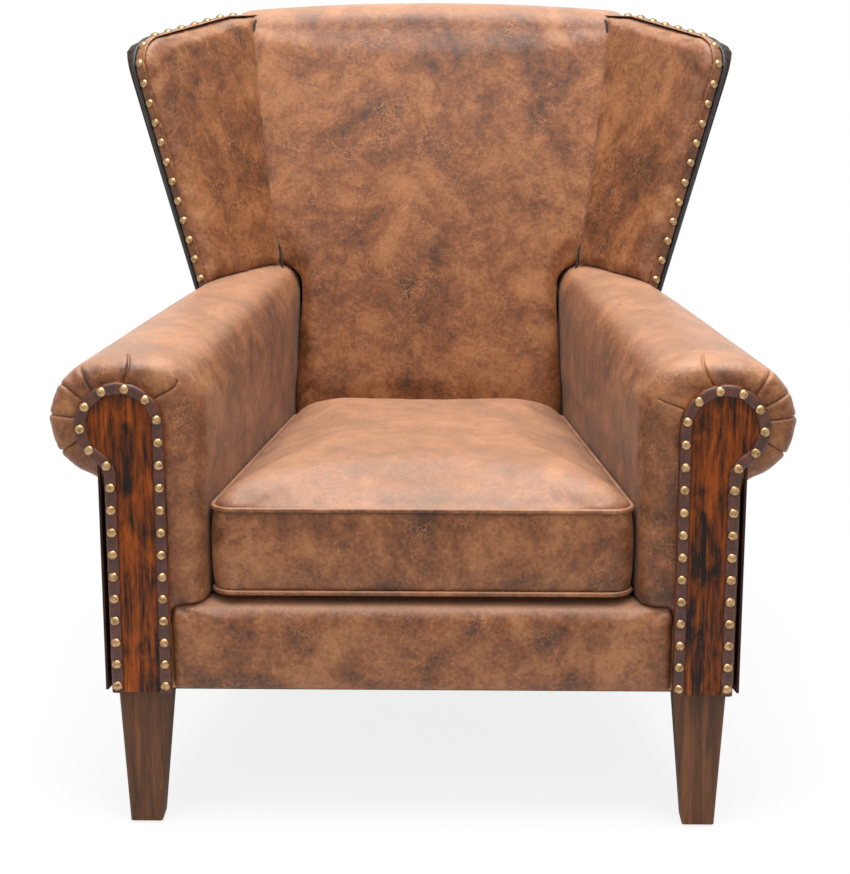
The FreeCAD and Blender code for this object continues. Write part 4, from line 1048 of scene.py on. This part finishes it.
class CHAIR_OT_back(ArmchairOperator, bpy.types.Operator):
    """Make the padded inside back"""

    bl_idname = "chair.back"
    bl_label = "Back"

    def execute(self, context):
        """Build the back, cut it round the frame and arms, and swell its face."""
        settings = sizes()
        back = back_blank("inside_back_leather", 0, BACK_HALF)
        outline = [(WEB_FACE, 200), (WEB_FACE, BACK_BEND), (leaning(WEB_FACE, POST_TOP), POST_TOP),
                   (600, POST_TOP), (600, 200)]
        behind = solid_through("behind", [[(x, y, z) for y, z in outline] for x in (-400, 400)])
        arm = arm_blank("arm_tool", -1.0, FOOT, ARM_FAR)
        other = mirrored(arm, "arm_tool_right")
        cut(back, behind, arm, other)
        drop(behind, arm, other)
        skin(back, settings.voxel, 5)

        def held(spots):
            """Where the back is tacked down: to the webbing, the crest rail and the seat."""
            _, y, z = spots.T
            webbing = 0.211 + BACK_SLOPE * np.maximum(z - 0.435, 0) - 0.004
            return (y > webbing) | (z > 0.955) | (z < 0.3)

        stuff(back, held, settings.swell * 1.5)
        smooth_off(back, 3)
        shade(back)
        finish_piece(back, "chair", tan_leather("back"), "tan_leather",
                     "inside_back_cover", "inside_back_pad")
        return {"FINISHED"}


class CHAIR_OT_wings(ArmchairOperator, bpy.types.Operator):
    """Make both wings with their bands, nails and black piping"""

    bl_idname = "chair.wings"
    bl_label = "Wings"

    def execute(self, context):
        """Build the left wing, cut it round the arm and back, trim it and mirror all of it."""
        settings = sizes()
        wing = wing_blank("wing_leather_left", 2, WELT_IN, 0, 10)
        arm = arm_blank("arm_tool", -1.0, FOOT, ARM_FAR)
        back = back_blank("back_tool", 2.5, BACK_HALF)
        cut(wing, arm, back)
        skin(wing, settings.voxel * 0.8, 4)
        inward = np.array(WING_IN)
        seam = np.array(WING_SEAM) * MM
        stuff(wing, lambda spots: (spots - seam) @ inward < -0.012, settings.swell * 1.2)
        smooth_off(wing, 3)
        shade(wing)
        band, nails = self.edge_band(settings)
        path = [wing_spot(spot.x, spot.y, WELT_IN) for spot in wing_path(0.4)]
        welt = cord_piece("wing_piping_left", path, 3.4, wave=0.05, wave_length=7.0)
        # A dark cord laid along the wing-to-back seam as painted shade for its dark line, closing
        # the gap there
        seam_shade_cord = cord_piece("wing_seam_fold_left", self.seam_path(), 1.9, sides=8)
        cut(band, arm, back)
        cut(welt, arm, back)
        drop(arm, back)
        shade(band, 60)
        shade(welt, 60)
        tones = colours()
        band_leather = finish("glazed_leather_band", waxed_leather, tones.tan_dark,
                              tones.tan_middle, tones.tan_light, (8.3, 0.2, 0.1))
        welt_leather = finish("glazed_leather_black", glazed_leather, tones.welt, 0.38, 0.002)
        brass = finish("antique_brass", antique_brass, tones.brass)
        # Dark leather colour of that painted seam shade
        seam_shade_leather = finish("tucked_leather_seam", glazed_leather, linear("#22130b"), 0.7, 0.002)
        wings = finish_pair(wing, lambda hand: tan_leather(f"wing_{hand}"), "tan_leather",
                            "wing_cover", "wing_pad")
        finish_pair(band, band_leather, "band_leather", "wing_band")
        finish_pair(nails, brass, "old_brass", "wing_nails")
        finish_pair(seam_shade_cord, seam_shade_leather, "tan_leather")
        finish_pair(welt, welt_leather, "black_leather", "wing_welt")
        return {"FINISHED"}

    def seam_path(self):
        """Where the wing's face goes into the padded back, from the arm up to the top."""
        path = []
        low, high = -8, 372
        for step in range(45):
            up = low + (high - low) * step / 44
            buried, clear = -120.0, 120.0
            for _ in range(18):
                middle = (buried + clear) / 2
                spot = wing_spot(middle, up, -0.6)
                section = [(y, z) for _, y, z in back_section(spot.x, 0, DECK_TOP)]
                if inside((spot.y, spot.z), section):
                    buried = middle
                else:
                    clear = middle
            path.append(wing_spot(buried, up, -0.6))
        return path

    def edge_band(self, settings):
        """The nailed band over the wing's edge, and its nails."""
        path, run = walk([wing_spot(spot.x, spot.y, BAND_MIDDLE) for spot in wing_path(1.2)])
        nails = nail_distances(72, run[-1] - 30, settings.nail_pitch / MM)

        def outward_at(spot, way):
            """Square to the wing's edge, away from the wing."""
            outward = way.cross(WING_IN).normalized()
            return outward if outward.dot(spot - wing_spot(0, 0, 0)) > 0 else -outward

        band = pinched_strip("wing_band_leather_left", path, run, nails, 8.8, 2.4,
                             lambda spot, way: WING_IN, outward_at, 1.2)
        places = []
        for distance in nails:
            spot, way = spot_on(path, run, distance)
            outward = outward_at(spot, way)
            along = way * 8
            touched = [spot + along * side - outward * depth for side in (-1, 0, 1)
                       for depth in (0, 4)]
            if not any(self.hidden(point) for point in touched):
                places.append((spot + outward * 1.1, outward))
        return band, nail_row("wing_nail_heads_left", places)

    def hidden(self, spot):
        """Whether a point is inside the arm or the padded back."""
        if abs(spot.x) < BACK_HALF + 1:
            section = back_section(spot.x, -0.6, DECK_TOP)
            if inside((spot.y, spot.z), [(y, z) for _, y, z in section]):
                return True
        if WIDEST < spot.y < ARM_FAR:
            section = arm_section(spot.y, -1.0, FOOT)
            return inside((spot.x, spot.z), [(x, z) for x, _, z in section])
        return False


def inside(point, outline):
    """Whether a point lies within a closed outline."""
    within = False
    for (x1, z1), (x2, z2) in zip(outline, outline[-1:] + outline[:-1]):
        if (z1 > point[1]) != (z2 > point[1]):
            if point[0] < (x2 - x1) * (point[1] - z1) / (z2 - z1) + x1:
                within = not within
    return within


class CHAIR_OT_seat_front(ArmchairOperator, bpy.types.Operator):
    """Make the padded seat front and the seat deck under the cushion"""

    bl_idname = "chair.seat_front"
    bl_label = "Seat front"

    def execute(self, context):
        """Roll the leather over the rail, cut it round the arms, and lay the deck cloth."""
        half = -FACING_RIGHT
        pairs = [(WALL, FOOT), (WALL, DECK_TOP - RAIL_ROLL)]
        pairs += round_points((WALL + RAIL_ROLL, DECK_TOP - RAIL_ROLL), RAIL_ROLL, math.pi,
                              math.pi / 2, 10)
        pairs += [(WALL + RAIL_DEPTH, DECK_TOP), (WALL + RAIL_DEPTH, FOOT)]
        rail = solid_through("seat_front_leather",
                             [[(x, y, z) for y, z in pairs] for x in (-half, half)])
        arm = arm_blank("arm_tool", -0.8, 100, ARM_END)
        below = slab("below_seat", (FACING_RIGHT - 0.5, -500, 0), (0, 500, SEAT_TOP))
        cut(arm, below)
        other = mirrored(arm, "arm_tool_right")
        cut(rail, arm, other)
        drop(arm, other, below)
        skin(rail, 0.005, 3)

        def held(spots):
            """Where the leather is tacked down: under the rail, behind it and at the arms."""
            x, y, z = spots.T
            return (z < 0.186) | (y > -0.36) | (np.abs(x) > 0.303)

        stuff(rail, held, 0.0025)
        smooth_off(rail, 2)
        shade(rail)
        finish_piece(rail, "chair", tan_leather("rail"), "tan_leather",
                     "front_border_cover", "front_border_pad")
        low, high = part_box("deck_cover")
        front, rear = low.y / MM, high.y / MM
        rows = []
        for step in range(13):
            y = front + (rear - front) * step / 12
            edge = SEAT_HALF - SEAT_SLOPE * (y - CASE_FRONT)
            dip = 1.6 * math.sin(math.pi * step / 12)
            rows.append([(edge * side / 10, y, DECK_TOP - 0.2 - dip * (1 - (side / 10) ** 2))
                         for side in range(-10, 11)])
        deck = grid_through("deck_cloth", rows)
        thicken(deck, 0.0018)
        shade(deck, 40)
        finish_piece(deck, "chair", finish("deck_cloth", woven_cloth, linear("#2a2623"), 0.0016),
                     "black_cloth", "deck_cover", "deck_pad")
        return {"FINISHED"}


class CHAIR_OT_cushion(ArmchairOperator, bpy.types.Operator):
    """Make the loose seat cushion with its piping and stitches"""

    bl_idname = "chair.cushion"
    bl_label = "Seat cushion"

    def execute(self, context):
        """Build the boxed case, swell it, and lay piping and stitches along its seams."""
        settings = sizes()
        low, high = 300.4, 406.4
        bow, tuck = 2.4, 1.4
        # Each level: how far it is drawn in, and its height
        levels = [(92, 289.6), (60, 290.4), (34, 291.8), (16, 295.2), (7, 298.2), (tuck, low)]
        for step in range(1, 9):
            z = low + (high - low) * step / 9
            levels.append((tuck - bow * math.sin(math.pi * step / 9), z))
        levels += [(tuck, high), (6, high + 7), (13, high + 13.5), (25, high + 21.5),
                   (42, high + 28.5), (64, high + 34), (92, high + 38), (124, high + 41),
                   (158, high + 43)]
        case = solid_through("cushion_leather", [cushion_section(inset, z) for inset, z in levels])
        skin(case, settings.voxel, 3)

        def held(spots):
            """The underside and the upper seam."""
            return (spots[:, 2] < 0.303) | (np.abs(spots[:, 2] - 0.4064) < 0.0035)

        def limit(spots):
            """The top swells most, and the boxing only a little."""
            return np.where(spots[:, 2] > 0.412, settings.swell * 1.5, 0.0012)

        stuff(case, held, limit)
        smooth_off(case, 2)
        shade(case)
        finish_piece(case, "seat_cushion", tan_leather("cushion"), "tan_leather",
                     "cushion_core", "cushion_cover")
        radius = settings.piping / 2 / MM
        for name, z in (("cushion_piping_bottom", low), ("cushion_piping_top", high)):
            ring = [Vector(spot) for spot in cushion_section(1.2, z)]
            piping = cord_piece(name, ring, radius, closed=True, wave=0.02, wave_length=23)
            finish_piece(piping, "seat_cushion", tan_leather("boxing"), "tan_leather",
                         "cushion_welts")
        thread = finish("waxed_thread", glazed_leather, linear("#8a5f3d"), 0.6, 0.001)
        for name, z in (("cushion_stitches_bottom", low + 6.2),
                        ("cushion_stitches_top", high - 6.2)):
            ring = [Vector(spot) for spot in cushion_section(3.0, z)]
            stitches = self.stitch_row(name, ring, settings.stitch / MM)
            finish_piece(stitches, "seat_cushion", thread, "tan_leather")
        return {"FINISHED"}

    def stitch_row(self, name, ring, size):
        """Short stitches in line, each a pinched cylinder lying along the seam."""
        path, run = walk(ring, True)
        count = round(run[-1] / (size * 1.45))
        shape = Matrix.Diagonal((size / 2 * MM, 0.5 * MM, 0.5 * MM, 1))
        places = []
        for index in range(count):
            spot, way = spot_on(path, run, run[-1] * index / count)
            turn = way.to_track_quat("X", "Z").to_matrix().to_4x4()
            places.append(Matrix.Translation(spot * MM) @ turn @ shape)
        bpy.ops.object.select_all(action="DESELECT")
        bpy.ops.mesh.primitive_uv_sphere_add(segments=8, ring_count=6, radius=1)
        row = added(name)
        copy_out(row, places)
        shade(row)
        return row


class CHAIR_OT_facings(ArmchairOperator, bpy.types.Operator):
    """Finish the hide-covered arm fronts with their leather strips and nails"""

    bl_idname = "chair.facings"
    bl_label = "Arm facings"

    def execute(self, context):
        """Make the left strip and nails, mirror them, and give the panels their hide."""
        settings = sizes()
        path, run = walk(facing_path())
        nails = nail_distances(9, run[-1] - 9, settings.nail_pitch / MM)
        forward = Vector((0, -1, 0))
        strip = pinched_strip("facing_strip_left", path, run, nails, STRIP_HALF,
                              settings.strip_rise / MM,
                              lambda spot, way: way.cross(forward).normalized(),
                              lambda spot, way: forward, 1.0)
        heads = nail_row("facing_nail_heads_left",
                         [(spot_on(path, run, distance)[0] + forward * 1.9, forward)
                          for distance in nails])
        tones = colours()
        leather = finish("glazed_leather_strip", glazed_leather, tones.strip, 0.3, 0.0016)
        brass = finish("antique_brass", antique_brass, tones.brass)
        finish_pair(strip, leather, "border_leather", "facing_border")
        finish_pair(heads, brass, "old_brass", "arm_nails")
        for hand, shift, share in (("left", (0.2, 0, 0.4), 0.45), ("right", (1.4, 0, 0.15), 0.5)):
            hide = finish(f"brindle_hide_{hand}", brindle_hide, tones.hide_red, tones.hide_black,
                          shift, share)
            dress(f"arm_facing_{hand}", hide)
        return {"FINISHED"}


def dress(node, material):
    """Give a CAD node another material."""
    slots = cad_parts[node].data.materials
    slots.clear()
    slots.append(material)


class CHAIR_OT_finishes(ArmchairOperator, bpy.types.Operator):
    """Give the frame, legs, panels and hardware their finishes"""

    bl_idname = "chair.finishes"
    bl_label = "Frame finishes"

    def execute(self, context):
        """Dress each CAD node that stays in view or inside."""
        tones = colours()
        outer = finish("outside_hide", brindle_hide, linear("#35190d"), linear("#100806"),
                       (3.3, 0.4, 0.8), 0.5, 0.16, 0.0005)
        legs = finish("stained_beech", stained_wood, tones.wood, 0.009, 0.46, 0.55)
        timber = finish("sawn_beech", stained_wood, linear("#b08c5f"), 0.008, 0.7, 0.25)
        steel = finish("drawn_steel", bright_steel, linear("#9c9c9c"))
        cloth = finish("black_felt", woven_cloth, linear("#2c2a29"), 0.0015)
        jute = finish("jute_webbing", woven_cloth, linear("#9a8257"), 0.003)
        felt = finish("glide_felt", woven_cloth, linear("#33302e"), 0.001)
        chosen = {
            "outside_arm": outer, "outside_wing": outer, "outside_back": outer,
            "leg_front": legs, "leg_rear": legs, "leg_plates": steel, "leg_bolts": steel,
            "seat_springs": steel, "spring_clips": steel, "dust_cover": cloth,
            "back_webbing": jute, "glides": felt,
        }
        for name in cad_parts:
            plain = name.replace("_left", "").replace("_right", "")
            if not plain.startswith("arm_facing"):
                dress(name, chosen.get(plain, timber))
        return {"FINISHED"}


class CHAIR_OT_stage(ArmchairOperator, bpy.types.Operator):
    """Set the floor, the soft studio light and the camera of the photograph"""

    bl_idname = "chair.stage"
    bl_label = "Stage"

    def execute(self, context):
        """Make the floor, world, lamps and camera."""
        self.floor()
        self.world()
        self.lamp("left_lamp", (-1.6, -2.3, 2.9), 2.2, 26)
        self.lamp("right_lamp", (1.6, -2.3, 2.9), 2.2, 24)
        self.lamp("top_lamp", (0.0, -0.4, 3.3), 2.4, 128)
        self.camera()
        return {"FINISHED"}

    def floor(self):
        """A pale floor that keeps the shadow and fades to white away from the chair."""
        bpy.ops.object.select_all(action="DESELECT")
        bpy.ops.mesh.primitive_plane_add(size=14)
        ground = added("studio_floor")
        edit(ground)
        bpy.ops.mesh.subdivide(number_cuts=3)
        done()
        material, add = new_material("studio_floor")
        paint = add("BsdfPrincipled", {"Base Color": (*linear("#f5f5f5"), 1), "Roughness": 0.9,
                                       "Specular IOR Level": 0.1})
        far = add("VectorMath", {0: add("TexCoord", out="Object")}, out="Value",
                  operation="LENGTH")
        fade = add("MapRange", {"Value": far, "From Min": 0.75, "From Max": 1.6},
                   interpolation_type="SMOOTHSTEP")
        # What the camera sees is nearly white and keeps a light shadow
        looked_at = add("Math", {0: add("LightPath", out="Is Camera Ray"), 1: 0.84},
                        operation="MULTIPLY")
        fade = add("Math", {0: fade, 1: looked_at}, operation="MAXIMUM")
        glow = add("Emission", {"Color": (*WHITE, 1), "Strength": seen_white(add)})
        add("OutputMaterial", {"Surface": add("MixShader", {0: fade, 1: paint, 2: glow})})
        ground.data.materials.append(material)

    def world(self):
        """A plain white surround, dimmer as a light than as a backdrop."""
        world = bpy.data.worlds.new("studio")
        bpy.context.scene.world = world
        world.use_nodes = True
        world.node_tree.nodes.clear()
        add = partial(add_node, world.node_tree)
        back = add("Background", {"Color": (*WHITE, 1), "Strength": seen_white(add)})
        add("OutputWorld", {"Surface": back})

    def lamp(self, name, spot, size, power):
        """One large soft lamp aimed at the seat."""
        bpy.ops.object.select_all(action="DESELECT")
        bpy.ops.object.light_add(type="AREA", location=spot)
        lamp = added(name)
        lamp.data.shape = "SQUARE"
        lamp.data.size = size
        lamp.data.energy = power
        aim = Vector((0, 0, 0.5)) - Vector(spot)
        lamp.rotation_euler = aim.to_track_quat("-Z", "Y").to_euler()

    def camera(self):
        """The camera where the photographer stood."""
        bpy.ops.object.select_all(action="DESELECT")
        bpy.ops.object.camera_add(location=(0.045206, -2.749781, 1.070666))
        camera = added("photo_camera")
        yaw, pitch = -0.0175, 0.2374
        ahead = Vector((math.sin(yaw) * math.cos(pitch), math.cos(yaw) * math.cos(pitch),
                        -math.sin(pitch)))
        camera.rotation_euler = ahead.to_track_quat("-Z", "Y").to_euler()
        # The focal length in pixels over the frame's longer side gives the lens
        camera.data.sensor_width = 36
        camera.data.lens = 36 * 2010.922 / 874
        camera.data.clip_end = 50
        bpy.context.scene.camera = camera


def seen_white(add, dim=0.38):
    """Full white where the camera, a gloss or a glass looks, and a plain light level elsewhere."""
    seen = add("LightPath", out="Is Camera Ray")
    for ray in ("Is Glossy Ray", "Is Transmission Ray"):
        seen = add("Math", {0: seen, 1: add("LightPath", out=ray)}, operation="MAXIMUM")
    return add("Math", {0: seen, 1: 1 - dim, 2: dim}, operation="MULTIPLY_ADD")


class CHAIR_PT_panel(bpy.types.Panel):
    """The chair's settings and steps"""

    bl_label = "Wing armchair"
    bl_idname = "CHAIR_PT_panel"
    bl_space_type = "VIEW_3D"
    bl_region_type = "UI"
    bl_category = "Armchair"

    def draw(self, context):
        """List every setting and every step."""
        for group in (context.scene.chair_sizes, context.scene.chair_colours):
            for name in group.__annotations__:
                self.layout.prop(group, name)
        for operator in OPERATORS:
            self.layout.operator(operator.bl_idname)


OPERATORS = (CHAIR_OT_arms, CHAIR_OT_back, CHAIR_OT_wings, CHAIR_OT_seat_front, CHAIR_OT_cushion,
             CHAIR_OT_finishes, CHAIR_OT_facings, CHAIR_OT_stage)
CLASSES = (ChairSizes, ChairColours, *OPERATORS, CHAIR_PT_panel)


def register():
    """Register the settings, operators and panel."""
    for made in CLASSES:
        bpy.utils.register_class(made)
    bpy.types.Scene.chair_sizes = PointerProperty(type=ChairSizes)
    bpy.types.Scene.chair_colours = PointerProperty(type=ChairColours)


def unregister():
    """Take them away again."""
    del bpy.types.Scene.chair_colours
    del bpy.types.Scene.chair_sizes
    for made in reversed(CLASSES):
        bpy.utils.unregister_class(made)


def main():
    """Build the chair's looks step by step."""
    register()
    bpy.context.scene.view_settings.view_transform = "Standard"
    bpy.ops.chair.finishes()
    bpy.ops.chair.arms()
    bpy.ops.chair.back()
    bpy.ops.chair.wings()
    bpy.ops.chair.seat_front()
    bpy.ops.chair.cushion()
    bpy.ops.chair.facings()
    bpy.ops.chair.stage()


if __name__ == "__main__":
    main()
